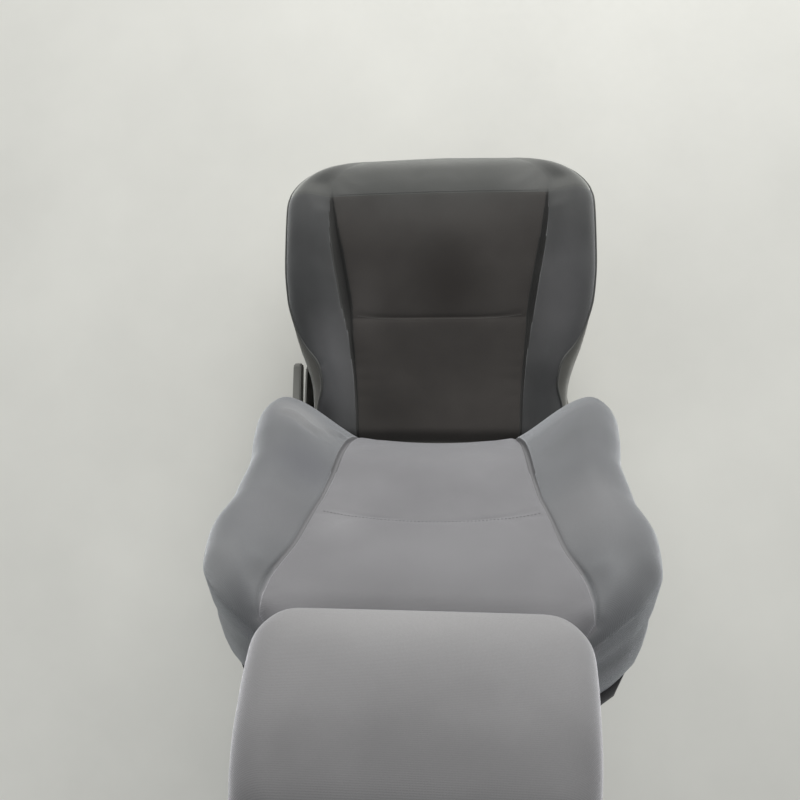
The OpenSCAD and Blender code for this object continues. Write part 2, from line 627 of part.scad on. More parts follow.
// Sleeves that guide the posts: a tube in the guide and a head on the cover
sleeve_head_r = 14;
sleeve_head_h = 7;
sleeve_low = guide_low - 6;
sleeve_bore = post_r + shaft_gap;
button_in = post_pitch / 2 + 9;
button_w = 9;
button_h = 4;
module sleeve(side) translate([side * post_pitch / 2, -post_depth, 0]) difference() {
    union() {
        translate([0, 0, sleeve_low]) cylinder(r = sleeve_r, h = back_top - sleeve_low, $fn = 64);
        translate([0, 0, back_top + seat_gap]) cylinder(r = sleeve_head_r, h = sleeve_head_h, $fn = 64);
        translate([0, 0, back_top - 1]) cylinder(r = sleeve_r, h = 4, $fn = 64);
    }
    translate([0, 0, sleeve_low - 1]) cylinder(r = sleeve_bore, h = 200, $fn = 64);
}
module headrest_sleeve_locking() color([0.12, 0.12, 0.12]) torso() difference() {
    sleeve(1);
    box([button_in - 2 * plate_gap - 3.4, -post_depth - button_w / 2 - plate_gap, back_top + 1.6],
        [button_in + 20, -post_depth + button_w / 2 + plate_gap, back_top + 1.6 + button_h + 2 * plate_gap]);
}
module headrest_sleeve_plain() color([0.12, 0.12, 0.12]) torso() sleeve(-1);
module headrest_lock_button() color([0.2, 0.2, 0.2]) torso()
    sheet_z(back_top + 1.6 + plate_gap, button_h)
        polygon(rounded([[button_in + 2.6, -post_depth - button_w / 2, 0], [button_in + 9.5, -post_depth - button_w / 2, 2],
            [button_in + 9.5, -post_depth + button_w / 2, 2], [button_in + 2.6, -post_depth + button_w / 2, 0]]));
module sheet_z(z, h) translate([0, 0, z]) linear_extrude(h) children();
module headrest_lock_spring() color([0.7, 0.7, 0.7]) torso()
    translate([button_in - 0.6, -post_depth, back_top + 1.6 + plate_gap + button_h / 2]) rotate([0, 90, 0])
        difference() {
            cylinder(r = 1.6, h = 3, $fn = 32);
            translate([0, 0, -1]) cylinder(r = 1.1, h = 6, $fn = 32);
        }

// ---------------------------------------------------------------- rails

rail_x = rail_pitch / 2;
rail_low = foot_h;
rail_top = foot_h + rail_h;
rail_half = rail_w / 2;
lip = rail_half - 9;
hem = 8;
slot_pitch = 16;
slot_count = 18;
tooth_z = rail_low + 10;
tooth_h = 5;

// Lower rail: a C-section with inturned, turned-down lips
module lower_rail_section() {
    w = rail_half;
    polygon([[-w, rail_low], [w, rail_low], [w, rail_top], [w - lip, rail_top], [w - lip, rail_top - hem],
        [w - lip + rail_t, rail_top - hem], [w - lip + rail_t, rail_top - rail_t], [w - rail_t, rail_top - rail_t],
        [w - rail_t, rail_low + rail_t], [-w + rail_t, rail_low + rail_t], [-w + rail_t, rail_top - rail_t],
        [-w + lip - rail_t, rail_top - rail_t], [-w + lip - rail_t, rail_top - hem], [-w + lip, rail_top - hem],
        [-w + lip, rail_top], [-w, rail_top]]);
}
module along(y0, y1) translate([0, y1, 0]) rotate([90, 0, 0]) linear_extrude(y1 - y0) children();
module lower_rail(side) difference() {
    translate([side * rail_x, 0, 0]) along(-rail_l / 2, rail_l / 2) lower_rail_section();
    for (k = [0:slot_count - 1]) let(y = (k - (slot_count - 1) / 2) * slot_pitch,
        x = side * (rail_x - rail_half + rail_t / 2))
        box([x - rail_t, y - 4.5, tooth_z - 1], [x + rail_t, y + 4.5, tooth_z + tooth_h + 1]);
}
module lower_rail_left() color([0.55, 0.56, 0.57]) lower_rail(1);
module lower_rail_right() color([0.55, 0.56, 0.57]) lower_rail(-1);

// Pressed feet: a floor pad with the bolt hole, a riser and a seat under the rail
foot_w = 56;
foot_t = 4;
foot_pad = 52;
module floor_foot() {
    y_bolt = bolt_pitch_y / 2;
    y_rail = rail_l / 2;
    difference() {
        translate([rail_x - foot_w / 2, 0, 0]) sheet_across(0, foot_w)
            polygon(rounded([[y_bolt + foot_pad / 2, 0, 0], [y_bolt + foot_pad / 2, foot_t, 1.5],
                [y_rail + 4, foot_t, 3], [y_rail + 4, foot_h, 3], [y_rail - 60, foot_h, 0],
                [y_rail - 60, 0, 0], [y_rail - 60 + foot_t, 0, 0], [y_rail - 60 + foot_t, foot_h - foot_t, 2],
                [y_rail - 4, foot_h - foot_t, 2], [y_rail - 4, 0, 0]]));
        translate([rail_x, y_bolt, -1]) cylinder(d = bolt_hole_d, h = foot_t + 2, $fn = 48);
    }
}
module floor_feet() color([0.12, 0.12, 0.13]) both_sides() {
    floor_foot();
    mirror([0, 1, 0]) floor_foot();
}

// Upper rail: an inverted T whose foot is captured by the lips
track_x0 = rail_half - rail_t - 6;
track_x1 = rail_half - rail_t - 4;
flange_x = 16;
web_x = 5;
rail_seat_z = rail_top + 11;
module upper_rail_section() polygon([
    [-track_x1, rail_low + 6], [track_x1, rail_low + 6], [track_x1, rail_low + 19], [track_x0, rail_low + 19],
    [track_x0, rail_low + 8.5], [web_x, rail_low + 8.5], [web_x, rail_seat_z - 3], [flange_x, rail_seat_z - 3],
    [flange_x, rail_seat_z], [-flange_x, rail_seat_z], [-flange_x, rail_seat_z - 3], [-web_x, rail_seat_z - 3],
    [-web_x, rail_low + 8.5], [-track_x0, rail_low + 8.5], [-track_x0, rail_low + 19], [-track_x1, rail_low + 19]]);
module upper_rail(side) translate([side * rail_x, 0, 0])
    along(-upper_rail_l / 2, upper_rail_l / 2) upper_rail_section();
module upper_rail_left() color([0.6, 0.61, 0.62]) upper_rail(1);
module upper_rail_right() color([0.6, 0.61, 0.62]) upper_rail(-1);

// Balls between the rails, and the strips that space them
ball_r = 1.9;
ball_x = rail_half - rail_t - 2;
ball_z = rail_low + 12;
ball_y = [-90, -60, -30, 0, 30, 60, 90];
module ball_places() for (side = [-1, 1], edge = [-1, 1], y = ball_y)
    translate([side * rail_x + edge * ball_x, y, ball_z]) children();
module track_balls() color([0.85, 0.85, 0.86]) ball_places() sphere(r = ball_r, $fn = 32);
module ball_retainers() color([0.8, 0.78, 0.7]) difference() {
    for (side = [-1, 1], edge = [-1, 1])
        translate([side * rail_x + edge * ball_x, 0, 0])
            box([-0.5, -105, ball_z - 4], [0.5, 105, ball_z + 4]);
    ball_places() rotate([0, 90, 0]) cylinder(r = ball_r + 0.05, h = 4, center = true, $fn = 32);
}

// ---------------------------------------------------------------- seat frame

member_low = pan_z - 95;
member_front_y = cushion_front_y + 48;
member_eye_r = 46;
side_flange = 16;
riser_front = [-195, -135];
riser_rear = [128, 196];

// Pressed side member: web, top and bottom flanges, recliner eye, lightening holes
module side_member() difference() {
    union() {
        sheet_across(side_x - side_t, side_x) {
            polygon(rounded([[member_front_y, member_low + 30, 20], [member_front_y + 40, member_low, 20],
                [pivot_y + 30, member_low, 20], [pivot_y + member_eye_r, pivot_z, 0], [pivot_y, pivot_z + 20, 0],
                [pivot_y - 46, pan_z - pan_t, 6], [member_front_y, pan_z - pan_t, pan_roll_r]]));
            translate([pivot_y, pivot_z]) circle(r = member_eye_r, $fn = 64);
        }
        box([side_x - side_flange, member_front_y + 30, pan_z - pan_t - side_t],
            [side_x, cushion_rear_y - 40, pan_z - pan_t]);
        box([side_x - side_flange, member_front_y + 45, member_low], [side_x, pivot_y + 10, member_low + side_t]);
    }
    across(side_x - 30, side_x + 10, [pivot_y, pivot_z], rod_bore);
    for (y = [-110, -50, 10, 70]) across(side_x - 5, side_x + 5, [y, member_low + 50], 17);
}
module side_member_left() color([0.1, 0.1, 0.11]) side_member();
module side_member_right() color([0.1, 0.1, 0.11]) mirror([1, 0, 0]) side_member();

// Riser brackets between the upper rails and the side members
module riser(y0, y1) {
    x1 = side_x - side_t;
    difference() {
        union() {
            box([x1 - 3, y0, rail_seat_z], [x1, y1, member_low]);
            box([rail_x - flange_x, y0, rail_seat_z], [x1, y1, rail_seat_z + 3]);
            box([side_x - side_flange, y0, member_low - 3], [side_x, y1, member_low]);
        }
        translate([rail_x - 8, (y0 + y1) / 2, rail_seat_z - 1]) cylinder(r = 4.2, h = 6, $fn = 32);
    }
}
module riser_brackets() color([0.1, 0.1, 0.11]) both_sides() {
    riser(riser_front[0], riser_front[1]);
    riser(riser_rear[0], riser_rear[1]);
}
// Bolts that hold the risers to the rails and to the side members
module frame_bolts() color([0.7, 0.66, 0.5]) both_sides() for (y = [riser_front, riser_rear]) {
    translate([rail_x - 8, (y[0] + y[1]) / 2, rail_seat_z + 3]) cylinder(r = 6.5, h = 5, $fn = 6);
    translate([side_x - side_t - 6.5, (y[0] + y[1]) / 2, member_low + side_t]) cylinder(r = 6, h = 4, $fn = 6);
}

// Pan sheet, spring wire and the tubes across the seat frame
pan_t = 1.5;
spring_wire_r = 2;
spring_z = pan_z - pan_t - spring_wire_r;
front_tube = [member_front_y + 36, pan_z - 62];
rear_tube_r = 11;
rear_tube = [pivot_y - 66, spring_z - spring_wire_r - rear_tube_r];
module cross_tube(at, r, wall) difference() {
    reach = side_x - side_t;
    across(-reach, reach, at, r);
    across(-reach - 1, reach + 1, at, r - wall);
}
module front_cross_tube() color([0.1, 0.1, 0.11]) cross_tube(front_tube, 14, 2);
module rear_cross_tube() color([0.1, 0.1, 0.11]) cross_tube(rear_tube, rear_tube_r, 2);

// Pressed pan under the thighs, rolled down at the front, with lightening holes
pan_rear_y = -60;
pan_front_y = cushion_front_y + 44;
pan_drop = 44;
pan_roll_r = 26;
module pan_outline() polygon(rounded([
    [pan_rear_y, pan_z, 0], [pan_front_y, pan_z, pan_roll_r], [pan_front_y, pan_z - pan_drop, 0],
    [pan_front_y + pan_t, pan_z - pan_drop, 0], [pan_front_y + pan_t, pan_z - pan_t, pan_roll_r - pan_t],
    [pan_rear_y, pan_z - pan_t, 0]]));
module seat_pan() color([0.1, 0.1, 0.11]) {
    difference() {
        sheet_across(-side_x, side_x) pan_outline();
        both_sides() for (y = [-230, -130]) translate([95, y, pan_z - 20]) cylinder(r = 22, h = 30, $fn = 64);
        translate([0, -180, pan_z - 20]) cylinder(r = 26, h = 30, $fn = 64);
    }
}

// Zigzag springs from under the pan's rear edge to the top of the rear tube
spring_half = 26;
spring_runs = 8;
module zigzag(x) {
    first = pan_rear_y - 10;
    step = (rear_tube[0] - first) / spring_runs;
    for (k = [0:spring_runs])
        across(x - spring_half, x + spring_half, [first + k * step, spring_z], spring_wire_r);
    for (k = [0:spring_runs - 1])
        translate([x + (k % 2 == 0 ? 1 : -1) * spring_half, first + k * step, spring_z]) rotate([-90, 0, 0])
            cylinder(r = spring_wire_r, h = step, $fn = 32);
}
spring_pitch = 88;
module suspension_springs() color([0.4, 0.4, 0.41]) for (k = [-1.5:1.5]) zigzag(k * spring_pitch);

// ---------------------------------------------------------------- side shields

shield_t = 3;
boss_y = [-190, -70, 96];
boss_z = member_low + 24;
shield_low = 88;
shield_front_y = -238;
// Outline of a shield; high_y is where its top edge steps up beside the cushion
module shield_outline(high_y, g) polygon(rounded([
    [shield_front_y + g, shield_low + 14 + g, 14], [pivot_y + 28 - g, shield_low + g, 26], [pivot_y + 66 - g, pivot_z - 90, 30],
    [pivot_y + 66 - g, pivot_z + 60 - g, 60], [pivot_y - 36, pivot_z + 56 - g, 24],
    [pivot_y - 84, pivot_z + 24 - g, 40], [high_y + 12, pivot_z + 14 - g, 8],
    [high_y - 32, cushion_hem_z - 6 - g, 16], [shield_front_y + g, cushion_hem_z - 10 - g, 14]]));
module shield(x1, high_y) difference() {
    union() {
        sheet_across(x1 - shield_t, x1) shield_outline(high_y, 0);
        difference() {
            sheet_across(side_x + plate_gap, x1 - 0.5) difference() {
                shield_outline(high_y, 0.5);
                shield_outline(high_y, shield_t);
            }
            box([0, shield_front_y - 20, cushion_hem_z - 14], [x1 + 50, cushion_rear_y + 8, pivot_z + 150]);
        }
        for (y = boss_y) across(side_x + plate_gap, x1 - 1, [y, boss_z], 8);
    }
    for (y = boss_y) across(side_x, x1 + 1, [y, boss_z], 2.6);
    for (y = boss_y) across(x1 - 1.6, x1 + 1, [y, boss_z], 6.2);
    across(side_x - 10, x1 + 10, [pivot_y, pivot_z], rod_r + 2);
}
module side_shield_outboard() color([0.45, 0.45, 0.42]) shield(shield_out_x, 25);
module side_shield_inboard() color([0.45, 0.45, 0.42]) mirror([1, 0, 0]) shield(shield_in_x, 92);
module screw_row(x1) for (y = boss_y) {
    across(x1 - 1.6, x1 - 0.2, [y, boss_z], 6);
    across(side_x + 0.02, x1 - 1, [y, boss_z], 2.5);
}
module shield_screws() color([0.2, 0.2, 0.2]) {
    screw_row(shield_out_x);
    mirror([1, 0, 0]) screw_row(shield_in_x);
}

// ---------------------------------------------------------------- track release

bar_r = bar_d / 2;
bar_x = rail_pitch / 2 - flange_x - bar_inset;
bar_pivot = [-6, rail_seat_z + 9];
bar_front = [-350, rail_seat_z + 40];
bar_bend = 24;
bar_rise = atan2(bar_front[1] - bar_pivot[1], bar_pivot[0] - bar_front[0]);
bar_reach = norm(bar_front - bar_pivot);
// Bent release bar: a grip across the front, two arms and their pivot eyes
module track_release_bar() color([0.13, 0.13, 0.14])
    translate([0, bar_pivot[0], bar_pivot[1]]) rotate([-bar_rise, 0, 0]) difference() {
        union() {
            across(-bar_x + bar_bend, bar_x - bar_bend, [-bar_reach, 0], bar_r);
            both_sides() {
                translate([bar_x - bar_bend, -bar_reach + bar_bend, 0]) rotate([0, 0, -90])
                    rotate_extrude(angle = 90, $fn = 48) translate([bar_bend, 0]) circle(r = bar_r, $fn = 48);
                translate([bar_x, -bar_reach + bar_bend, 0]) rotate([-90, 0, 0])
                    cylinder(r = bar_r, h = bar_reach - bar_bend - 6, $fn = 48);
                across(bar_x - bar_r - 1, bar_x + bar_r + 1, [0, 0], 9);
            }
        }
        across(-bar_x - 20, bar_x + 20, [0, 0], stud_r + shaft_gap);
    }
// Brackets on the upper rails that hold the bar's studs and the latch pins
stud_r = 4;
bracket_x = rail_x - flange_x;
latch_x = rail_x - rail_half - 10;
latch_z = rail_seat_z - 6;
latch_y0 = -92;
latch_y1 = -2;
pin_r = 3;
module latch_bracket() difference() {
    union() {
        box([bracket_x - 2.5, latch_y0, rail_top + 1], [bracket_x, latch_y1 + 12, rail_seat_z + 20]);
        box([bracket_x - 2.5, latch_y0, rail_seat_z], [rail_x + 8, latch_y1 + 12, rail_seat_z + 2.5]);
        for (y = [latch_y0, latch_y1 - 3])
            box([latch_x - 7, y, rail_top + 1], [bracket_x - 2, y + 3, latch_z + 4.5]);
    }
    translate([latch_x, latch_y0 - 5, latch_z]) rotate([-90, 0, 0])
        cylinder(r = pin_r + 0.02, h = latch_y1 - latch_y0 + 10, $fn = 48);
    across(bracket_x - 20, bracket_x + 10, bar_pivot, stud_r + 0.02);
}
module latch_brackets() color([0.5, 0.5, 0.51]) both_sides() latch_bracket();
module latch_pins() color([0.75, 0.75, 0.76]) both_sides()
    translate([latch_x, latch_y0 - 1, latch_z]) rotate([-90, 0, 0])
        cylinder(r = pin_r, h = latch_y1 - latch_y0 + 2, $fn = 48);
module release_bar_studs() color([0.75, 0.75, 0.76]) both_sides()
    across(bar_x - bar_r - 4, bracket_x, bar_pivot, stud_r);

// Toothed latch: a barrel on its pin, a comb towards the rail slots and a lift tab
module latch_plate() difference() {
    union() {
        translate([latch_x, latch_y0 + 3.5, latch_z]) rotate([-90, 0, 0])
            cylinder(r = 6, h = latch_y1 - latch_y0 - 7, $fn = 48);
        box([latch_x - 1.5, latch_y0 + 4, tooth_z - 2], [latch_x + 1, latch_y1 - 4, latch_z]);
        for (k = [0:4]) let(y = -slot_pitch * (k + 0.5) - 2 - 6)
            box([latch_x, y - 3, tooth_z], [rail_x - rail_half - 0.4, y + 3, tooth_z + tooth_h]);
        box([bar_x - 5, -22, rail_seat_z + 15.8], [latch_x + 4, -15, rail_seat_z + 18.5]);
        box([latch_x, -22, latch_z], [latch_x + 4, -15, rail_seat_z + 18.5]);
    }
    translate([latch_x, latch_y0 - 5, latch_z]) rotate([-90, 0, 0])
        cylinder(r = pin_r + shaft_gap, h = latch_y1 - latch_y0 + 10, $fn = 48);
}
module latch_left() color([0.68, 0.64, 0.45]) latch_plate();
module latch_right() color([0.68, 0.64, 0.45]) mirror([1, 0, 0]) latch_plate();

// Coiled springs round the studs that hold the bar down
coil_wire = 1.2;
coil_turns = 4;
module coil(r, wire, turns, pitch) {
    sides = 6;
    per_turn = 14;
    steps = turns * per_turn;
    points = [for (k = [0:steps]) let(a = 360 * k / per_turn, z = pitch * k / per_turn)
        for (s = [0:sides - 1]) let(b = 360 * s / sides, q = r + wire * cos(b))
            [q * cos(a), q * sin(a), z + wire * sin(b)]];
    polyhedron(points = points, faces = concat(
        [[for (s = [sides - 1:-1:0]) s]],
        [for (k = [0:steps - 1]) for (s = [0:sides - 1]) let(a = k * sides + s, b = k * sides + (s + 1) % sides)
            each [[a, b + sides, a + sides], [a, b, b + sides]]],
        [[for (s = [0:sides - 1]) steps * sides + s]]), convexity = 6);
}
module release_springs() color([0.6, 0.6, 0.6]) both_sides()
    translate([bar_x + bar_r + 3, bar_pivot[0], bar_pivot[1]]) rotate([0, 90, 0])
        coil(stud_r + coil_wire + 0.4, coil_wire, coil_turns, 2 * coil_wire + 0.3);

// Push-in clips that hold the back panel to the side members
clip_r = 5;
module back_panel_clips() color([0.85, 0.83, 0.78]) torso() both_sides() for (u = [0.242, 0.484, 0.727])
    let(x = back_side_x - 9, reach = panel_y(u, (x + clip_r) / panel_half(u)))
        translate([x, back_rear - 2, back_foot + u * (back_top - back_foot)]) rotate([-90, 0, 0])
            cylinder(r = clip_r, h = reach - back_rear + 1.8, $fn = 32);

lower_rail_left();
lower_rail_right();
floor_feet();
ball_retainers();
track_balls();
upper_rail_left();
upper_rail_right();
riser_brackets();
side_member_left();
side_member_right();
front_cross_tube();
rear_cross_tube();
seat_pan();
suspension_springs();
cushion_foam();
cushion_cover();
side_shield_outboard();
side_shield_inboard();
shield_screws();
recliner_fixed_discs();
latch_brackets();
latch_pins();
release_bar_studs();
frame_bolts();
back_side_member_left();
back_side_member_right();
back_upper_tube();
headrest_guide_tubes();
back_lower_crossmember();
back_suspension_mat();
backrest_foam();
backrest_cover();
back_panel();
back_panel_clips();
recliner_moving_discs();
recliner_rivets();
recliner_springs();
headrest_sleeve_locking();
headrest_sleeve_plain();
recliner_lever();
recliner_cross_rod();
headrest_posts();
headrest_core();
headrest_foam();
headrest_cover();
headrest_lock_button();
headrest_lock_spring();
track_release_bar();
release_springs();
latch_left();
latch_right();
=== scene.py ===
"""Looks of the reclining front seat: upholstery, foam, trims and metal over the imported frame."""
import math

import bmesh
import bpy
import numpy as np
from mathutils import Matrix, Vector


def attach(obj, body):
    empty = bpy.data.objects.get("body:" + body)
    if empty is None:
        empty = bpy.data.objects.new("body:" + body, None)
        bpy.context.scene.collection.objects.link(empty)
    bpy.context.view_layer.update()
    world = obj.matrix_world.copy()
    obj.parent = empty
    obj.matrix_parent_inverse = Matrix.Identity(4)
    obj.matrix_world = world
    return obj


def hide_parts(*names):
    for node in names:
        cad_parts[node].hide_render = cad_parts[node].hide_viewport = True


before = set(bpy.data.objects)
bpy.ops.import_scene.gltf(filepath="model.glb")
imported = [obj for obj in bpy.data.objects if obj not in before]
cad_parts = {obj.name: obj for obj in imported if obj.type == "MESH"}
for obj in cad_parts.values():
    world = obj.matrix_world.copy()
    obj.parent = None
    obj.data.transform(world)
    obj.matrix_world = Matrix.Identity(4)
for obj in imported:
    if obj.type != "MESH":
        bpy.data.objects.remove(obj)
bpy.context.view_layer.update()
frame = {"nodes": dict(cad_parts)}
MM = 0.001
SENSOR_MM, FOCAL_PX, PICTURE_PX = 36.0, 654.77, 800.0


def new_object(name, data):
    """Object with this data, in the scene's own collection."""
    obj = bpy.data.objects.new(name, data)
    bpy.context.scene.collection.objects.link(obj)
    return obj


# ------------------------------------------------------------------ camera, light and floor
def add_camera():
    """Camera above the seat; its place, turn and focal length were fitted to the photograph."""
    data = bpy.data.cameras.new("camera")
    data.sensor_width = SENSOR_MM
    data.lens = SENSOR_MM * FOCAL_PX / PICTURE_PX
    data.clip_start = 0.02
    cam = new_object("camera", data)
    right = Vector((-0.9965844, -0.00635416, -0.08233556))
    down = Vector((-0.0005654, 0.99753698, -0.07014029))
    ahead = Vector((0.08257845, -0.06985417, -0.99413339))
    m = Matrix((right, -down, -ahead)).transposed().to_4x4()
    m.translation = Vector((-0.0279, 0.1749, 1.4287))
    cam.matrix_world = m
    bpy.context.scene.camera = cam


def add_area(name, at, target, size, power, colour, spread=180.0):
    """Rectangular lamp at a place, turned towards its target; spread in degrees."""
    data = bpy.data.lights.new(name, "AREA")
    data.shape = "RECTANGLE"
    data.size, data.size_y = size
    data.energy = power
    data.color = colour
    data.spread = math.radians(spread)
    obj = new_object(name, data)
    obj.location = at
    obj.rotation_euler = (Vector(target) - Vector(at)).to_track_quat("-Z", "Y").to_euler()


def add_stage():
    bm = bmesh.new()
    bmesh.ops.create_grid(bm, x_segments=1, y_segments=1, size=20.0)
    mesh = bpy.data.meshes.new("floor")
    bm.to_mesh(mesh)
    bm.free()
    floor = new_object("floor", mesh)
    floor.data.materials.append(floor_material())
    world = bpy.data.worlds.new("studio")
    world.use_nodes = True
    background = world.node_tree.nodes["Background"]
    background.inputs["Color"].default_value = (0.95, 0.97, 1.0, 1.0)
    background.inputs["Strength"].default_value = 0.36
    scene = bpy.context.scene
    scene.world = world
    scene.view_settings.view_transform = "Standard"
    add_area("key", (-0.3, -5.0, 2.1), (0.0, 0.1, 0.5), (4.6, 2.2), 112, (1.0, 0.99, 0.97), 90.0)
    add_area("fill", (-1.3, -1.7, 2.6), (-0.3, 0.1, 0.3), (2.2, 1.8), 26, (1.0, 0.995, 0.98))
    add_area("rear", (1.9, 1.6, 1.9), (0.2, 0.35, 0.75), (1.6, 1.6), 8, (1.0, 1.0, 0.98))


# ------------------------------------------------------------------ materials
class Nodes:
    """Short hand for building a node tree."""

    def __init__(self, name):
        self.mat = bpy.data.materials.new(name)
        self.mat.use_nodes = True
        self.tree = self.mat.node_tree
        self.tree.nodes.clear()
        self.out = self.tree.nodes.new("ShaderNodeOutputMaterial")
        self.bsdf = self.tree.nodes.new("ShaderNodeBsdfPrincipled")
        self.link(self.bsdf.outputs["BSDF"], self.out.inputs["Surface"])

    def link(self, a, b):
        self.tree.links.new(a, b)

    def add(self, kind, **values):
        node = self.tree.nodes.new("ShaderNode" + kind)
        for key, value in values.items():
            if hasattr(node, key):
                setattr(node, key, value)
        return node

    def coords(self, which="Object"):
        return self.add("TexCoord").outputs[which]

    def scaled(self, vector, scale):
        mapping = self.add("Mapping")
        mapping.inputs["Scale"].default_value = scale
        self.link(vector, mapping.inputs["Vector"])
        return mapping.outputs["Vector"]

    def noise(self, vector, scale, detail=2.0, rough=0.5, distortion=0.0):
        node = self.add("TexNoise")
        node.inputs["Scale"].default_value = scale
        node.inputs["Detail"].default_value = detail
        node.inputs["Roughness"].default_value = rough
        node.inputs["Distortion"].default_value = distortion
        self.link(vector, node.inputs["Vector"])
        return node.outputs["Fac"]

    def ramp(self, fac, stops):
        node = self.add("ValToRGB")
        ramp = node.color_ramp
        while len(ramp.elements) < len(stops):
            ramp.elements.new(0.5)
        for element, (place, colour) in zip(ramp.elements, stops):
            element.position = place
            element.color = (*colour, 1.0) if len(colour) == 3 else colour
        self.link(fac, node.inputs["Fac"])
        return node.outputs["Color"]

    def grey(self, fac, lo, hi, at=(0.3, 0.7)):
        return self.ramp(fac, [(at[0], (lo, lo, lo)), (at[1], (hi, hi, hi))])

    def math(self, op, a, b=None):
        node = self.add("Math", operation=op)
        for socket, value in zip(node.inputs, (a, b)):
            if value is None:
                continue
            if isinstance(value, (int, float)):
                socket.default_value = value
            else:
                self.link(value, socket)
        return node.outputs["Value"]

    def mix(self, fac, a, b, blend="MIX"):
        node = self.add("Mix", data_type="RGBA", blend_type=blend)
        for socket, value in zip((node.inputs[0], node.inputs[6], node.inputs[7]), (fac, a, b)):
            if isinstance(value, (int, float)):
                socket.default_value = value
            elif isinstance(value, tuple):
                socket.default_value = (*value, 1.0)
            else:
                self.link(value, socket)
        return node.outputs[2]

    def bump(self, height, strength, distance, normal=None):
        node = self.add("Bump")
        node.inputs["Strength"].default_value = strength
        node.inputs["Distance"].default_value = distance
        self.link(height, node.inputs["Height"])
        if normal is not None:
            self.link(normal, node.inputs["Normal"])
        return node.outputs["Normal"]


def fabric_material(name, dark, light, sheen, tint, patches=(), rough=0.92):
    """Knitted cloth; each patch is a place, its radii, a colour and how strongly that colour is laid over the cloth
    there, as painted light or painted shade.
    """
    n = Nodes(name)
    uv = n.add("UVMap")
    uv.uv_map = "cloth"
    place = uv.outputs["UV"]
    big = n.noise(n.coords(), 6.0, 3.0, 0.55)
    small = n.noise(n.coords(), 900.0, 2.0, 0.6)
    waves = []
    for axis, values in (("X", (340.0, 1.2, 1.0)), ("Y", (250.0, 1.0, 2.0))):
        wave = n.add("TexWave", wave_type="BANDS", bands_direction=axis)
        n.link(place, wave.inputs["Vector"])
        for socket, value in zip(("Scale", "Distortion", "Detail"), values):
            wave.inputs[socket].default_value = value
        waves.append(wave.outputs["Fac"])
    weave = n.math("MULTIPLY", *waves)
    base = n.ramp(big, [(0.3, dark), (0.7, light)])
    # Painted light and shade: each patch blends the cloth towards a lighter or darker colour round its place.
    for centre, radii, colour, strength in patches:
        away = n.add("VectorMath", operation="SUBTRACT")
        n.link(n.coords(), away.inputs[0])
        away.inputs[1].default_value = centre
        size = n.add("VectorMath", operation="LENGTH")
        n.link(n.scaled(away.outputs["Vector"], tuple(1 / r for r in radii)), size.inputs[0])
        edge = n.add("MapRange")
        edge.interpolation_type = "SMOOTHSTEP"
        for socket, value in zip(("From Min", "From Max", "To Min", "To Max"), (0.15, 1.0, strength, 0.0)):
            edge.inputs[socket].default_value = value
        n.link(n.math("ADD", size.outputs["Value"], n.math("MULTIPLY", n.noise(n.coords(), 16.0, 3.0), 0.25)),
               edge.inputs["Value"])
        base = n.mix(edge.outputs["Result"], base, colour)
    base = n.mix(n.math("MULTIPLY", small, 0.3), base, tuple(c * 0.6 for c in dark))
    base = n.mix(n.math("MULTIPLY", n.math("SUBTRACT", 1.0, weave), 0.18), base, tuple(c * 0.55 for c in dark))
    n.link(base, n.bsdf.inputs["Base Color"])
    n.link(n.grey(small, rough - 0.08, rough + 0.06), n.bsdf.inputs["Roughness"])
    n.bsdf.inputs["Specular IOR Level"].default_value = 0.2
    n.bsdf.inputs["Sheen Weight"].default_value = sheen
    n.bsdf.inputs["Sheen Roughness"].default_value = 0.38
    n.bsdf.inputs["Sheen Tint"].default_value = (*tint, 1.0)
    height = n.math("ADD", n.math("MULTIPLY", weave, 0.6), n.math("MULTIPLY", small, 0.4))
    n.link(n.bump(height, 0.36, 0.0007), n.bsdf.inputs["Normal"])
    return n.mat


def foam_material():
    n = Nodes("foam")
    co = n.coords()
    cells = n.add("TexVoronoi")
    cells.inputs["Scale"].default_value = 420.0
    n.link(co, cells.inputs["Vector"])
    patches = n.noise(co, 14.0, 3.0)
    n.link(n.ramp(patches, [(0.3, (0.62, 0.52, 0.28)), (0.7, (0.76, 0.68, 0.44))]), n.bsdf.inputs["Base Color"])
    n.link(n.grey(patches, 0.86, 0.97), n.bsdf.inputs["Roughness"])
    n.link(n.bump(cells.outputs["Distance"], 0.5, 0.0008), n.bsdf.inputs["Normal"])
    return n.mat


def metal_material(name, dark, light, rough, grain=(400.0, 8.0, 8.0), metallic=1.0, bump=0.08):
    n = Nodes(name)
    co = n.coords()
    lines = n.noise(n.scaled(co, grain), 1.0, 3.0, 0.6)
    cloud = n.noise(co, 18.0, 3.0)
    n.link(n.ramp(cloud, [(0.3, dark), (0.7, light)]), n.bsdf.inputs["Base Color"])
    n.link(n.grey(lines, rough[0], rough[1]), n.bsdf.inputs["Roughness"])
    n.bsdf.inputs["Metallic"].default_value = metallic
    n.link(n.bump(lines, bump, 0.0002), n.bsdf.inputs["Normal"])
    return n.mat


def plastic_material(name, dark, light, rough, grain=700.0, bump=0.5):
    n = Nodes(name)
    co = n.coords()
    leather = n.add("TexVoronoi")
    leather.feature = "SMOOTH_F1"
    leather.inputs["Scale"].default_value = grain
    n.link(co, leather.inputs["Vector"])
    cloud = n.noise(co, 9.0, 4.0, 0.6)
    n.link(n.ramp(cloud, [(0.3, dark), (0.7, light)]), n.bsdf.inputs["Base Color"])
    n.link(n.grey(cloud, rough[0], rough[1]), n.bsdf.inputs["Roughness"])
    n.bsdf.inputs["Specular IOR Level"].default_value = 0.4
    n.link(n.bump(leather.outputs["Distance"], bump, 0.0005), n.bsdf.inputs["Normal"])
    return n.mat


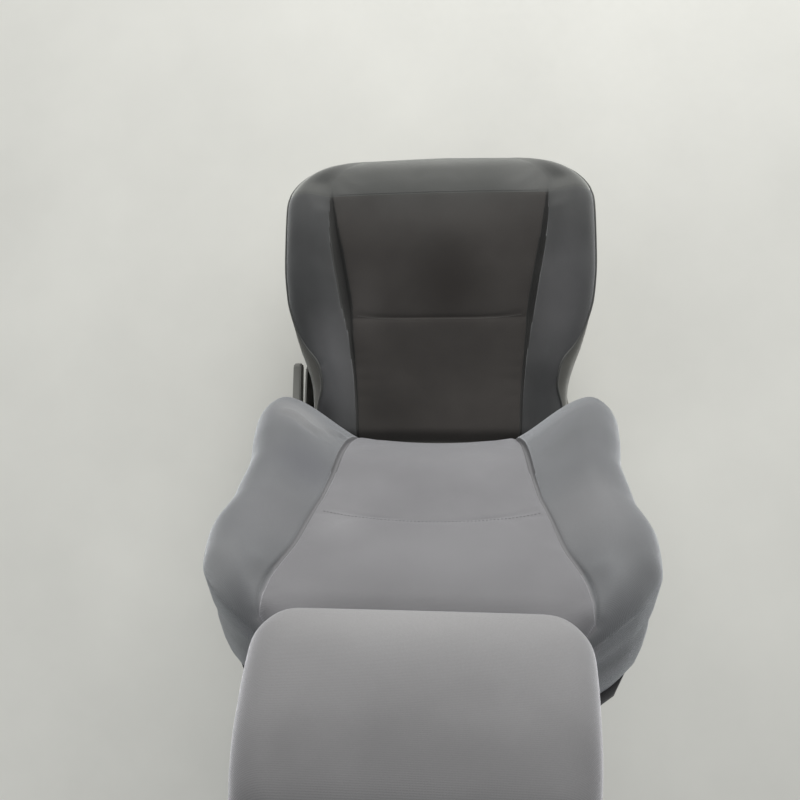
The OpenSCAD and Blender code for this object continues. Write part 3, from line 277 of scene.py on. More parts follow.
def floor_material():
    n = Nodes("pale_floor")
    co = n.coords()
    cloud = n.noise(co, 1.6, 5.0, 0.6)
    fine = n.noise(co, 60.0, 3.0, 0.6)
    n.link(n.ramp(cloud, [(0.3, (0.62, 0.62, 0.58)), (0.7, (0.69, 0.69, 0.645))]), n.bsdf.inputs["Base Color"])
    n.link(n.grey(fine, 0.5, 0.7), n.bsdf.inputs["Roughness"])
    return n.mat


METALS = {
    "zinc_steel": ((0.42, 0.43, 0.44), (0.55, 0.56, 0.57), (0.3, 0.46)),
    "bright_steel": ((0.62, 0.62, 0.63), (0.72, 0.72, 0.73), (0.16, 0.28)),
    "spring_steel": ((0.24, 0.24, 0.25), (0.34, 0.34, 0.35), (0.34, 0.5)),
    "screw_steel": ((0.3, 0.29, 0.27), (0.4, 0.39, 0.37), (0.32, 0.46)),
    "chrome_steel": ((0.72, 0.72, 0.73), (0.8, 0.8, 0.81), (0.05, 0.1)),
}
PLASTICS = {
    "natural_plastic": ((0.6, 0.58, 0.52), (0.7, 0.68, 0.62), (0.42, 0.56)),
    "black_plastic": ((0.022, 0.022, 0.024), (0.034, 0.034, 0.036), (0.5, 0.66)),
    "trim_plastic": ((0.2, 0.2, 0.183), (0.235, 0.235, 0.215), (0.5, 0.66)),
}
MATS = {k: metal_material(k, *v) for k, v in METALS.items()}
MATS.update({k: plastic_material(k, *v) for k, v in PLASTICS.items()})
MATS["frame_black"] = metal_material("frame_black", (0.014, 0.014, 0.015), (0.026, 0.026, 0.028), (0.34, 0.5),
                                     (30.0, 30.0, 30.0), 0.0, 0.05)
MATS["foam"] = foam_material()
# Painted light: lighter colour for the front of the cushion, where the front light falls.
FRONT_PAINTED_LIGHT = (0.098, 0.1, 0.096)
CLOTHS = {
    "cushion_insert": ((0.05, 0.046, 0.043), (0.075, 0.069, 0.064), 0.8, (0.75, 0.75, 0.72), [
        # Front lighter: painted light. A lighter patch left of the middle. Darker at the rear by the backrest:
        # painted shade. Darker in the middle of the insert.
        ((0.0, -0.35, 0.34), (0.42, 0.24, 0.4), FRONT_PAINTED_LIGHT, 1.0),
        ((0.13, -0.07, 0.31), (0.06, 0.11, 0.1), (0.115, 0.107, 0.102), 0.5),
        ((0.09, 0.11, 0.29), (0.1, 0.08, 0.08), (0.028, 0.026, 0.024), 0.6),
        ((-0.02, -0.11, 0.33), (0.1, 0.13, 0.2), (0.028, 0.024, 0.022), 0.7)]),
    "cushion_bolster": ((0.062, 0.063, 0.063), (0.09, 0.092, 0.093), 0.6, (0.85, 0.87, 0.88), [
        # Fronts lighter: painted light. Lighter along both bolsters: painted light. Darker at the left bolster's rear
        # corner: painted shadow of the backrest's wing.
        ((0.2, -0.36, 0.32), (0.14, 0.2, 0.3), FRONT_PAINTED_LIGHT, 0.6),
        ((-0.2, -0.36, 0.32), (0.16, 0.24, 0.3), FRONT_PAINTED_LIGHT, 1.0),
        ((0.18, 0.04, 0.32), (0.08, 0.18, 0.2), (0.16, 0.16, 0.166), 0.8),
        ((-0.2, -0.07, 0.33), (0.09, 0.2, 0.2), (0.155, 0.153, 0.157), 0.8),
        ((0.208, 0.12, 0.29), (0.05, 0.07, 0.07), (0.03, 0.03, 0.032), 0.95)]),
    "cushion_nose": ((0.09, 0.092, 0.088), (0.116, 0.118, 0.113), 1.0, (0.9, 0.92, 0.88), [
        # Lighter patches on both sides of the nose: painted light.
        ((0.17, -0.285, 0.33), (0.1, 0.08, 0.1), (0.13, 0.132, 0.127), 0.5),
        ((-0.16, -0.275, 0.33), (0.1, 0.08, 0.1), (0.16, 0.162, 0.157), 0.6)]),
    # Darker cloths with little sheen for the faces in the creases: painted shade in the creases.
    "cushion_channel": ((0.054, 0.054, 0.052), (0.072, 0.072, 0.069), 0.1, (0.8, 0.8, 0.8)),
    "cushion_crease": ((0.056, 0.056, 0.054), (0.076, 0.076, 0.073), 0.05, (0.8, 0.8, 0.8)),
    "back_crease": ((0.13, 0.13, 0.135), (0.165, 0.165, 0.17), 0.1, (0.9, 0.9, 0.95)),
    "cushion_side": ((0.125, 0.123, 0.112), (0.165, 0.162, 0.148), 0.6, (0.9, 0.9, 0.86)),
    "piping": ((0.09, 0.092, 0.088), (0.12, 0.122, 0.116), 0.6, (0.9, 0.9, 0.86)),
    "thread_dark": ((0.1, 0.1, 0.097), (0.12, 0.12, 0.116), 0.3, (0.8, 0.8, 0.8)),
    "thread_grey": ((0.16, 0.16, 0.165), (0.19, 0.19, 0.195), 0.3, (0.9, 0.9, 0.9)),
    "back_insert": ((0.142, 0.141, 0.147), (0.184, 0.183, 0.19), 0.8, (0.95, 0.95, 1.0), [
        # Darker under the head restraint: painted shade. Lighter patches below it and towards the left crease:
        # painted light.
        ((0.0, 0.4, 0.85), (0.26, 0.2, 0.17), (0.098, 0.098, 0.1), 0.8),
        ((-0.02, 0.29, 0.73), (0.12, 0.12, 0.1), (0.205, 0.205, 0.212), 0.5),
        ((0.1, 0.27, 0.7), (0.06, 0.1, 0.06), (0.24, 0.24, 0.246), 0.5)]),
    "back_bolster": ((0.112, 0.115, 0.12), (0.152, 0.156, 0.162), 0.85, (0.9, 0.93, 0.97), [
        # Lighter at the left wing's lower tip: painted highlight with some worn pile. Darker on the wings' inner
        # flanks: painted shade. Lighter on both wings higher up and on the left shoulder: painted light. Darker on
        # the right shoulder and along the left crease by the shoulder: painted shade.
        ((0.17, 0.127, 0.537), (0.09, 0.07, 0.065), (0.25, 0.25, 0.25), 0.75),
        ((-0.14, 0.135, 0.565), (0.12, 0.1, 0.09), (0.085, 0.087, 0.089), 0.75),
        ((0.15, 0.19, 0.63), (0.07, 0.09, 0.09), (0.1, 0.102, 0.116), 0.6),
        ((-0.17, 0.25, 0.71), (0.09, 0.12, 0.09), (0.225, 0.225, 0.23), 0.6),
        ((0.17, 0.26, 0.71), (0.08, 0.11, 0.08), (0.18, 0.18, 0.188), 0.5),
        ((0.215, 0.36, 0.75), (0.08, 0.12, 0.1), (0.33, 0.335, 0.325), 0.9),
        ((-0.21, 0.36, 0.75), (0.08, 0.13, 0.11), (0.04, 0.042, 0.04), 1.0),
        ((0.165, 0.33, 0.77), (0.04, 0.06, 0.06), (0.1, 0.102, 0.104), 0.7)]),
    "head_cover": ((0.174, 0.173, 0.176), (0.215, 0.214, 0.218), 0.8, (0.95, 0.95, 1.0), [
        # Lighter band along the lower front edge: painted highlight. Darker towards the top: painted shade.
        ((0.0, 0.31, 0.88), (0.3, 0.06, 0.08), (0.28, 0.278, 0.278), 0.8),
        ((0.0, 0.44, 1.05), (0.5, 0.3, 0.2), (0.085, 0.084, 0.087), 1.0)]),
}
MATS.update({k: fabric_material(k, *v) for k, v in CLOTHS.items()})
MATS["panel_grey"] = plastic_material("panel_grey", (0.08, 0.08, 0.082), (0.1, 0.1, 0.102), (0.5, 0.66))


def dress_frame():
    """Gives each CAD node the worked-up material of its slot."""
    alias = {"cushion_fabric": "cushion_insert", "back_fabric": "back_insert", "head_fabric": "head_cover"}
    for node in frame["nodes"].values():
        for slot in node.material_slots:
            key = slot.material.name.split(".")[0] if slot.material else "black_plastic"
            key = "panel_grey" if node is frame["nodes"]["back_panel"] else alias.get(key, key)
            if key in MATS:
                slot.material = MATS[key]


# ------------------------------------------------------------------ curves of the pads, in millimetres
def curve(knots, x):
    """Smooth monotone curve through the knots, held level beyond its ends."""
    k = np.asarray(knots, float)
    px, py = k[:, 0], k[:, 1]
    s = np.diff(py) / np.diff(px)
    m = np.empty(len(k))
    m[0], m[-1] = s[0], s[-1]
    for i in range(1, len(k) - 1):
        m[i] = 0 if s[i - 1] * s[i] <= 0 else 2 * s[i - 1] * s[i] / (s[i - 1] + s[i])
    x = np.clip(x, px[0], px[-1])
    i = np.clip(np.searchsorted(px, x, side="right") - 1, 0, len(k) - 2)
    h = px[i + 1] - px[i]
    u = (x - px[i]) / h
    return ((2 * u**3 - 3 * u**2 + 1) * py[i] + (u**3 - 2 * u**2 + u) * h * m[i]
            + (3 * u**2 - 2 * u**3) * py[i + 1] + (u**3 - u**2) * h * m[i + 1])


def edge_drop(d, r):
    """Drop of a quarter-round edge of radius r at distance d inside the edge."""
    e = np.clip(d, 0, r)
    return r - np.sqrt(np.maximum(r * r - (r - e) ** 2, 0))


PIVOT_Y, PIVOT_Z, RECLINE = 200.0, 240.0, math.radians(20.0)
PAN_Z = 225.0
# Shares of the pads' lengths: the seam behind the nose, the cushion's cross seam, the backrest's row of close
# points and its cross seam
NOSE_SEAM, CUSHION_SEAM, BACK_ROW, BACK_SEAM = 0.165, 0.573, 0.69, 0.697
# Fullness of the covers: pressure inside, share that the cloth is longer, greatest move in mm, frames to settle
PUFF_PRESSURE, PUFF_SLACK, PUFF_CAP, PUFF_FRAMES = 3.0, 0.002, 1.5, 20
PIPING_RADIUS, PIPING_LIFT, FOAM_VOXEL = 0.0021, 0.0004, 0.007


def leaned(p):
    """Points given as x, depth and height of the backrest, in the row frame."""
    c, s = math.cos(RECLINE), math.sin(RECLINE)
    x, n, t = p[..., 0], p[..., 1], p[..., 2]
    return np.stack([x, PIVOT_Y - n * c + t * s, PIVOT_Z + n * s + t * c], -1)


class Pad:
    """Shared parts of the two large pads: v runs along the pad, x across."""

    def welt(self, v):
        """How far inside the rim the side seam runs."""
        return 1.5 + 0 * v

    def share(self, v, x):
        """Place across the pad: 0 in the middle, 1 at the seam, 2 at the rim, with the side's sign."""
        w, xi, ax = self.half(v), self.seam(v), np.abs(x)
        return np.sign(x) * np.where(ax < xi, ax / xi, 1 + (ax - xi) / (w - xi))

    def at_share(self, v, p):
        w, xi, ap = self.half(v), self.seam(v), np.abs(p)
        return np.sign(p) * np.where(ap < 1, ap * xi, xi + (ap - 1) * (w - xi))


class Cushion(Pad):
    """Seat cushion, from the nose to the rear."""

    length, front = 509.0, -339.0
    shoulder, hem, tuck, frame = 229.0, 212.0, 22.0, 219.0
    side = [[0, .98], [.32, .996], [.41, 1], [.515, .989], [.593, .962], [.672, .921], [.741, .875]]
    top = [[0, .86], [.073, .965], [.16, 1], [.24, .99], [.4, .895], [.58, .735], [.79, .593], [.9, .568], [1, .55]]
    bolster = [[0, 0], [.083, .33], [.16, .66], [.32, .9], [.515, 1], [.71, .93], [.85, .6], [1, .25]]
    narrow = [[0, 0], [.12, .02], [.23, .1], [.58, .68], [.9, .98], [1, 1]]

    def half(self, v):
        k = [[a, b * 265] for a, b in self.side] + [[.829, 223], [1, 222]]
        return curve(k, v) - 156 * (1 - np.sqrt(1 - (1 - np.minimum(v * self.length / 104, 1)) ** 2))

    def seam(self, v):
        return np.minimum(372 - 88 * curve(self.narrow, v), 1.5 * self.half(v)) / 2

    def welt(self, v):
        return curve([[0, 1.5], [.5, 1.5], [.575, 4], [.613, 6], [.648, 9.5], [.683, 16], [.705, 22], [.73, 26],
                      [.8, 22], [.88, 10], [1, 6]], v)

    def point(self, v, x):
        w, xi, ax = self.half(v), self.seam(v), np.abs(x)
        ahead = np.clip((.22 - v) / .1, 0, 1)
        rise = np.clip((ax - xi) / ((.42 + .3 * ahead) * (w - xi)), 0, 1)
        lift = np.sin(rise * np.pi / 2) * (1 - ahead) + (.5 - .5 * np.cos(rise * np.pi)) * ahead
        over = (113 * curve(self.top, v) - 5 * np.minimum(ax / xi, 1) ** 2 + 30 * curve(self.bolster, v) * lift
                - edge_drop(w - ax, 34) - edge_drop(v * self.length, 48) - edge_drop((1 - v) * self.length, 26))
        return np.stack([x, self.front + v * self.length + 0 * x, PAN_Z + over], -1)

    def wall(self, v, x, depth):
        """Point below the rim: depth 0 at the rim, 1 at the shoulder, 2 at the hem."""
        p = self.point(v, x)
        w = self.half(v)
        t = np.clip(depth - 1, 0, 1)
        z = p[..., 2] + (self.shoulder - p[..., 2]) * min(depth, 1) + (self.hem - self.shoulder) * t
        y = self.front + self.tuck * t * (1 - v) + v * (self.length - self.tuck * t)
        return np.stack([x * (w - self.tuck * t) / w, y + 0 * x, z], -1)

    def turned(self, ring, k):
        """Hem strip below the wall, hooked inwards over the frame."""
        p = ring.copy()
        side = np.abs(p[:, 0])
        p[:, 0] = np.sign(p[:, 0]) * np.where(side > self.frame, np.maximum(side - 5 * k, self.frame), side)
        p[:, 1] += 8 * k * (p[:, 1] < -300)
        p[:, 2] -= 13 * math.sin(k * math.pi / 2)
        return p

    def place(self, p):
        return p * MM


class Backrest(Pad):
    """Backrest pad, from the foot up; built in the backrest's frame as x, depth and height, then leaned."""

    low, length = 40.0, 578.0
    shoulder, rear, draw, tuck = -14.0, -34.0, 12.0, 20.0
    side = [[0, .752], [.055, .76], [.076, .935], [.156, .98], [.26, 1], [.363, .995], [.467, .962], [.571, .924],
            [.675, .924], [.761, .962], [.83, .945], [.882, .86], [.926, .745], [.969, .59], [1, .46]]
    deep = [[0, .28], [.035, .44], [.104, .56], [.19, .74], [.277, .885], [.363, .975], [.45, 1], [.571, .947],
            [.675, .886], [.796, .807], [.882, .76], [1, .7]]
    bolster = [[0, 0], [.076, .18], [.121, .52], [.19, .88], [.26, 1], [.346, .94], [.45, .79], [.554, .64],
               [.657, .52], [.756, .41], [.848, .24], [.917, .12], [1, 0]]
    narrow = [[0, .983], [.26, 1], [.4, 1.018], [.5, 1.02], [.567, 1.033], [.63, 1.052], [.665, 1.08], [.715, 1.116],
              [.77, 1.15], [.8, 1.175], [.835, 1.223], [.864, 1.26], [.893, 1.283], [1, 1.29]]
    crest = [[0, .93], [.26, .93], [.502, .92], [.756, .84], [1, .75]]
    dish = [[.277, 1], [1, .3]]

    def half(self, v):
        return curve(self.side, v) * 245

    def seam(self, v):
        return np.minimum(curve(self.narrow, v) * 121, .985 * self.half(v))

    def point(self, v, x):
        w, ax = self.half(v), np.abs(x)
        xi = np.minimum(curve(self.narrow, v) * 121, .88 * w)
        top = curve(self.crest, v) * w
        rise = np.clip((ax - xi) / np.maximum(top - xi, 26), 0, 1)
        n = (114 * curve(self.deep, v) + 9.5 * curve(self.dish, v) * np.minimum(ax / xi, 1) ** 2
             + 66 * curve(self.bolster, v) * np.sin(rise * np.pi / 2) ** 1.35
             - edge_drop(w - ax, 30) - edge_drop((1 - v) * self.length, 45))
        return np.stack([x, n, self.low + v * self.length + 0 * x], -1)

    def wall(self, v, x, depth):
        p = self.point(v, x)
        w = self.half(v)
        d, t = min(depth, 1), max(depth - 1, 0)
        n = p[..., 1] + (self.shoulder - p[..., 1]) * d + (self.rear - self.shoulder) * t
        inward = self.draw * d + (self.tuck - self.draw) * t
        return np.stack([x * (w - inward) / w, n, self.low + v * (self.length - inward) + 0 * x], -1)

    def turned(self, ring, k):
        """Hem turned in behind the pad, under the back panel."""
        p = ring.copy()
        away = p[:, 2] - (self.low + self.length / 2)
        p[:, 0] *= 1 - 14 * k / np.maximum(np.abs(p[:, 0]), 60)
        p[:, 2] -= 12 * k * np.clip(np.abs(away) - 240, 0, 30) / 30 * np.sign(away)
        p[:, 1] = self.rear + 0.2
        return p

    def place(self, p):
        return leaned(p) * MM


class Head:
    """Head restraint pad: h runs up, s across from -1 to 1, with a front and a rear face."""

    base, height, depth, rear0 = 630.0, 185.0, 121.0, -4.0
    side = [[0, .8], [.027, .885], [.076, .957], [.173, 1], [.3, .985], [.45, .957], [.65, .915], [.84, .85],
            [.946, .755], [1, .615]]
    fore = [[0, .983], [.11, 1], [.32, .966], [.6, .881], [.81, .763], [1, .627]]
    aft = [[0, .102], [.11, .034], [.32, 0], [.6, .034], [.81, .102], [1, .237]]
    place = Backrest.place

    def half(self, h):
        return curve(self.side, h) * 138

    def faces(self, h, s):
        w = self.half(h)
        f = self.rear0 + self.depth * curve(self.fore, h)
        r = self.rear0 + self.depth * curve(self.aft, h)
        mid = (f + r) / 2
        drop = (edge_drop(w - np.abs(s) * w, 26) + edge_drop(h * self.height, 14)
                + edge_drop((1 - h) * self.height, 30))
        t = self.base + h * self.height + 0 * s
        front = np.stack([s * w, np.maximum(f - drop, mid + 5), t], -1)
        back = np.stack([s * w, np.minimum(r + drop, mid - 5), t], -1)
        return front, back


# ------------------------------------------------------------------ meshes
def spaced(length, coarse, marks, edges):
    """Places from 0 to length: about `coarse` apart, close round each mark and towards both rounded ends."""
    at = {0.0, float(length)}
    for mark in marks:
        for off in (0, 1.2, 2.4, 4, 6.5, 10):
            at |= {mark - off, mark + off}
    for k, edge in enumerate(edges):
        for a in np.linspace(0, 90, 9)[1:]:
            d = edge * (1 - math.cos(math.radians(a)))
            at.add(d if k == 0 else length - d)
    at = sorted(a for a in at if 0 <= a <= length)
    out = [at[0]]
    for b in at[1:]:
        if b - out[-1] < 0.5:
            continue
        a, steps = out[-1], max(1, round((b - out[-1]) / coarse))
        out += [a + (b - a) * (k + 1) / steps for k in range(steps)]
    out[-1] = float(length)
    return np.array(out)


def columns(pad, v, n_in=22, n_out=16):
    """x of every column at share v: close columns at the two seams and one column on each side seam."""
    w, xi, q = pad.half(v), pad.seam(v), pad.welt(v)
    k = np.minimum(1.0, (w - q - xi) / 45.0)
    offs = np.array([15, 12, 10, 8, 6, 4, 2.4, 1.2, 0])
    inner = np.linspace(0, 1, n_in)[:, None] * (xi - 15 * k)[None, :]
    near_in = xi[None, :] - offs[1:, None] * k[None, :]
    near_out = xi[None, :] + offs[::-1][1:, None] * k[None, :]
    s = np.linspace(0, 1, n_out)[1:]
    s = 0.4 * np.sin(s * np.pi / 2) + 0.6 * s
    start = xi + 15 * k
    outer = start[None, :] + s[:, None] * (w - q - start)[None, :]
    strip = w[None, :] - q[None, :] * np.array([0.66, 0.33, 0.0])[:, None]
    right = np.concatenate([inner, near_in, near_out, outer, strip])
    return np.concatenate([-right[:0:-1], right]).T


def rim_index(rows, cols):
    """Indices of a grid's border, once round."""
    return ([i for i in range(cols)] + [j * cols + cols - 1 for j in range(1, rows)]
            + [(rows - 1) * cols + i for i in range(cols - 2, -1, -1)] + [j * cols for j in range(rows - 2, 0, -1)])


def grid_quads(rows, cols, base=0):
    j, i = np.meshgrid(np.arange(rows - 1), np.arange(cols - 1), indexing="ij")
    a = (base + j * cols + i).ravel()
    return np.stack([a, a + 1, a + cols + 1, a + cols], -1)


def ring_quads(loops):
    """Quads between each closed loop of points and the next."""
    out = []
    for a, b in zip(loops, loops[1:]):
        a, b = np.asarray(a), np.asarray(b)
        out.append(np.stack([a, b, np.roll(b, -1), np.roll(a, -1)], -1))
    return np.concatenate(out)


def make_object(name, points, faces, material_of, mats, uvs=None):
    mesh = bpy.data.meshes.new(name)
    mesh.from_pydata(points.tolist(), [], [tuple(int(i) for i in f) for f in faces])
    for m in mats:
        mesh.materials.append(MATS[m])
    mesh.polygons.foreach_set("material_index", np.asarray(material_of, np.int32))
    mesh.polygons.foreach_set("use_smooth", [True] * len(mesh.polygons))
    if uvs is not None:
        layer = mesh.uv_layers.new(name="cloth")
        loops = np.empty(len(mesh.loops), np.int32)
        mesh.loops.foreach_get("vertex_index", loops)
        layer.data.foreach_set("uv", uvs[loops].astype(np.float32).ravel())
    mesh.update()
    return new_object(name, mesh)


def apply_modifiers(obj):
    depsgraph = bpy.context.evaluated_depsgraph_get()
    mesh = bpy.data.meshes.new_from_object(obj.evaluated_get(depsgraph))
    obj.modifiers.clear()
    obj.data = mesh


def normals_of(points, faces):
    """Unit normal of every point, from the quads round it."""
    n = np.zeros_like(points)
    f = np.asarray(faces)
    fn = np.cross(points[f[:, 2]] - points[f[:, 0]], points[f[:, 3]] - points[f[:, 1]])
    for k in range(4):
        np.add.at(n, f[:, k], fn)
    return n / np.maximum(np.linalg.norm(n, axis=1, keepdims=True), 1e-12)


def ripple(p, seed, scale):
    """Smooth repeatable noise, about -1 to 1, from a few crossed waves."""
    rng = np.random.RandomState(seed)
    out = 0
    for k in range(7):
        d = rng.normal(size=p.shape[-1])
        d /= np.linalg.norm(d)
        f = scale * (0.6 + 0.22 * k)
        out = out + np.sin(p @ d * f + rng.uniform(0, 6.28)) / 7 ** 0.5
    return out * 0.8


class Skin:
    """A pad's skin as points in the pad's own millimetres: the top grid, its wall rings and a turned hem."""

    def __init__(self, pad, v, depths, x=None, hem=False):
        self.pad = pad
        self.v1 = v
        x = columns(pad, v) if x is None else x
        self.rows, self.cols = x.shape
        self.v = np.repeat(v[:, None], self.cols, 1)
        self.x = x
        self.share = pad.share(self.v, x)
        top = pad.point(self.v, x)
        self.rim = np.array(rim_index(self.rows, self.cols))
        rv, rx = self.v.ravel()[self.rim], x.ravel()[self.rim]
        self.depths = depths
        rings = [pad.wall(rv, rx, d) for d in depths]
        if hem:
            rings += [pad.turned(rings[-1], k) for k in (0.35, 0.7, 1.0)]
            self.depths = depths = list(depths) + [2.1, 2.2, 2.3]
        self.n = self.rows * self.cols
        m = len(self.rim)
        self.loops = [self.rim] + [self.n + k * m + np.arange(m) for k in range(len(rings))]
        self.points = np.concatenate([top.reshape(-1, 3)] + rings)
        self.faces = np.concatenate([grid_quads(self.rows, self.cols), ring_quads(self.loops)])
        across = np.concatenate(
            [np.zeros((self.rows, 1)), np.cumsum(np.linalg.norm(np.diff(top, axis=1), axis=2), 1)], 1)
        mid = self.cols // 2
        across -= across[:, mid:mid + 1]
        along = np.concatenate([[0], np.cumsum(np.linalg.norm(np.diff(top[:, mid], axis=0), axis=1))])
        uv = [np.stack([across, np.repeat(along[:, None], self.cols, 1)], -1).reshape(-1, 2)]
        last = self.points[self.rim]
        girth = np.concatenate([[0], np.cumsum(np.linalg.norm(np.diff(last, axis=0), axis=1))])
        down = np.zeros(m)
        for ring in rings:
            down = down + np.linalg.norm(ring - last, axis=1)
            last = ring
            uv.append(np.stack([girth, 1000 + down], -1))
        self.uv = np.concatenate(uv) * MM

    def depth_of(self):
        """Depth of every point: 0 on the top, 2 at the hem and a little more on the turned strip."""
        return np.concatenate([np.zeros(self.n)] + [np.full(len(self.rim), d) for d in self.depths])


def puff(pad, v_seams, fade):
    """Blows up a coarse copy of the pad's cover, held at its seams and walls, and returns a function that gives
    how far the cover moves at share v and place across the pad, in millimetres."""
    marks = sorted({0.0, 1.0, *v_seams})
    v = np.concatenate([np.linspace(a, b, max(3, round((b - a) * 78)), endpoint=False)
                        for a, b in zip(marks, marks[1:])] + [[1.0]])
    p1 = np.concatenate([np.linspace(0, 1, 17), np.linspace(1, 2, 14)[1:]])
    p = np.concatenate([-p1[:0:-1], p1])
    x = pad.at_share(v[:, None], p[None, :])
    skin = Skin(pad, v, [0.3, 0.65, 1.0, 1.6], x)
    rest = pad.place(skin.points)
    normal = normals_of(rest, skin.faces)
    centre = rest.mean(0)
    flipped = np.mean(np.einsum("ij,ij->i", normal, rest - centre)) < 0
    faces = [tuple(int(i) for i in (f[::-1] if flipped else f)) for f in skin.faces]
    bottom = [int(i) for i in skin.loops[-1]]
    faces.append(tuple(bottom[::-1]) if flipped else tuple(bottom))
    mesh = bpy.data.meshes.new("puff")
    mesh.from_pydata(rest.tolist(), [], faces)
    mesh.update()
    obj = new_object("puff", mesh)
    held = np.zeros(len(rest), bool)
    share = np.abs(skin.share).ravel()
    held[:skin.n] |= np.abs(share - 1) < 1e-6
    for mark in v_seams:
        held[:skin.n] |= (np.abs(skin.v.ravel() - mark) < 1e-6) & (share < 1)
    held[skin.n + 2 * len(skin.rim):] = True
    group = obj.vertex_groups.new(name="held")
    group.add([int(i) for i in np.nonzero(held)[0]], 1.0, "REPLACE")
    cloth = obj.modifiers.new("cloth", "CLOTH")
    cs = cloth.settings
    cs.quality = 6
    cs.mass = 0.25
    cs.tension_stiffness = cs.compression_stiffness = 14.0
    cs.shear_stiffness = 7.0
    cs.bending_stiffness = 1.2
    cs.air_damping = 3.0
    cs.use_pressure = True
    cs.uniform_pressure_force = PUFF_PRESSURE
    cs.shrink_min = -PUFF_SLACK
    cs.vertex_group_mass = "held"
    cs.effector_weights.gravity = 0.0
    cloth.collision_settings.use_collision = False
    cloth.point_cache.frame_start, cloth.point_cache.frame_end = 1, PUFF_FRAMES
    scene = bpy.context.scene
    for f in range(1, PUFF_FRAMES + 1):
        scene.frame_set(f)
    ev = obj.evaluated_get(bpy.context.evaluated_depsgraph_get())
    co = np.zeros(len(rest) * 3, np.float32)
    ev.data.vertices.foreach_get("co", co)
    move = (co.reshape(-1, 3) - rest) / MM
    bpy.data.objects.remove(obj)
    scene.frame_set(1)
    size = np.linalg.norm(move, axis=1, keepdims=True)
    move *= PUFF_CAP * np.tanh(size / PUFF_CAP) / np.maximum(size, 1e-9)
    grid = move[:skin.n].reshape(skin.rows, skin.cols, 3)
    # outside the insert no seam is held, so the moves are evened out along the pad
    outer = np.abs(p) > 1.02
    grid[:, outer] = smooth_path(grid[:, outer], 6)

    def at(vv, pp):
        j = np.clip(np.searchsorted(v, vv, side="right") - 1, 0, len(v) - 2)
        i = np.clip(np.searchsorted(p, pp, side="right") - 1, 0, len(p) - 2)
        a = ((vv - v[j]) / (v[j + 1] - v[j]))[..., None]
        b = ((pp - p[i]) / (p[i + 1] - p[i]))[..., None]
        d = (grid[j, i] * (1 - a) * (1 - b) + grid[j, i + 1] * (1 - a) * b
             + grid[j + 1, i] * a * (1 - b) + grid[j + 1, i + 1] * a * b)
        return d * fade(vv)[..., None]

    return at


def local_moves(pad, moves):
    """Moves in the row frame turned into the pad's own frame."""
    if isinstance(pad, Cushion):
        return moves
    c, s = math.cos(RECLINE), math.sin(RECLINE)
    x, y, z = moves[..., 0], moves[..., 1], moves[..., 2]
    return np.stack([x, -y * c + z * s, y * s + z * c], -1)


def filled(pad, skin, seam, fade):
    """The skin's points with the fullness of the cover added; the walls follow the rim and fade to their shoulder."""
    pts = skin.points.copy()
    field = puff(pad, [seam], fade)
    pts[:skin.n] += local_moves(pad, field(skin.v, skin.share)).reshape(-1, 3)
    rim = pts[skin.rim] - skin.points[skin.rim]
    for ring, depth in zip(skin.loops[1:], skin.depths):
        pts[ring] += rim * max(0.0, 1 - depth) ** 1.5
    return pts


def tube_mesh(path, radius, sides):
    """Points and faces of a tube along a path, drawn in at both ends."""
    path = np.asarray(path, float)
    t = np.gradient(path, axis=0)
    t /= np.linalg.norm(t, axis=1, keepdims=True)
    n = np.zeros_like(t)
    up = np.array([0.0, 0.0, 1.0]) if abs(t[0, 2]) < 0.9 else np.array([1.0, 0.0, 0.0])
    n[0] = np.cross(t[0], up)
    n[0] /= np.linalg.norm(n[0])
    for k in range(1, len(t)):
        q = n[k - 1] - t[k] * (n[k - 1] @ t[k])
        n[k] = q / np.linalg.norm(q)
    b = np.cross(t, n)
    r = np.full(len(path), radius)
    r[0] = r[-1] = radius * 0.35
    a = np.linspace(0, 2 * np.pi, sides, endpoint=False)
    pts = (path[:, None] + r[:, None, None] * (np.cos(a)[None, :, None] * n[:, None]
                                               + np.sin(a)[None, :, None] * b[:, None])).reshape(-1, 3)
    faces = []
    for k in range(len(path) - 1):
        for i in range(sides):
            j = (i + 1) % sides
            faces.append((k * sides + i, k * sides + j, (k + 1) * sides + j, (k + 1) * sides + i))
    faces.append(tuple(range(sides))[::-1])
    faces.append(tuple((len(path) - 1) * sides + i for i in range(sides)))
    return pts, faces


def tubes(name, paths, radius, mat, sides):
    """One piece of tubes along several paths."""
    pts, faces, base = [], [], 0
    for path in paths:
        p, f = tube_mesh(path, radius, sides)
        pts.append(p)
        faces += [tuple(i + base for i in g) for g in f]
        base += len(p)
    return make_object(name, np.concatenate(pts), faces, [0] * len(faces), [mat])


def stitches(name, runs, mat, pitch=0.0042, length=0.0030, radius=0.00042):
    """Short thread stitches along runs of points on a surface: each run is (points, normals)."""
    paths = []
    for path, normal in runs:
        d = np.concatenate([[0], np.cumsum(np.linalg.norm(np.diff(path, axis=0), axis=1))])
        for at in np.arange(pitch, d[-1] - pitch, pitch):
            s = at + np.linspace(-0.5, 0.5, 5) * length
            c = np.stack([np.interp(s, d, path[:, k]) for k in range(3)], -1)
            n = np.stack([np.interp(s, d, normal[:, k]) for k in range(3)], -1)
            n /= np.linalg.norm(n, axis=1, keepdims=True)
            lift = radius * np.array([-0.9, 0.35, 0.6, 0.35, -0.9])
            paths.append(c + n * lift[:, None])
    return tubes(name, paths, radius, mat, 6)


# ------------------------------------------------------------------ pads
def bell(d, width):
    """Soft bump, 1 at d = 0 and fading over about `width`."""
    return np.exp(-(np.abs(d) / width) ** 1.6)


def middle(a):
    """Mean of the four corners of every cell of a grid."""
    return (a[:-1, :-1] + a[1:, 1:] + a[:-1, 1:] + a[1:, :-1]) / 4


def trench(d, half_width):
    """Groove with a flat floor and steeper walls than `bell`."""
    return np.exp(-(np.abs(d) / half_width) ** 2.8)


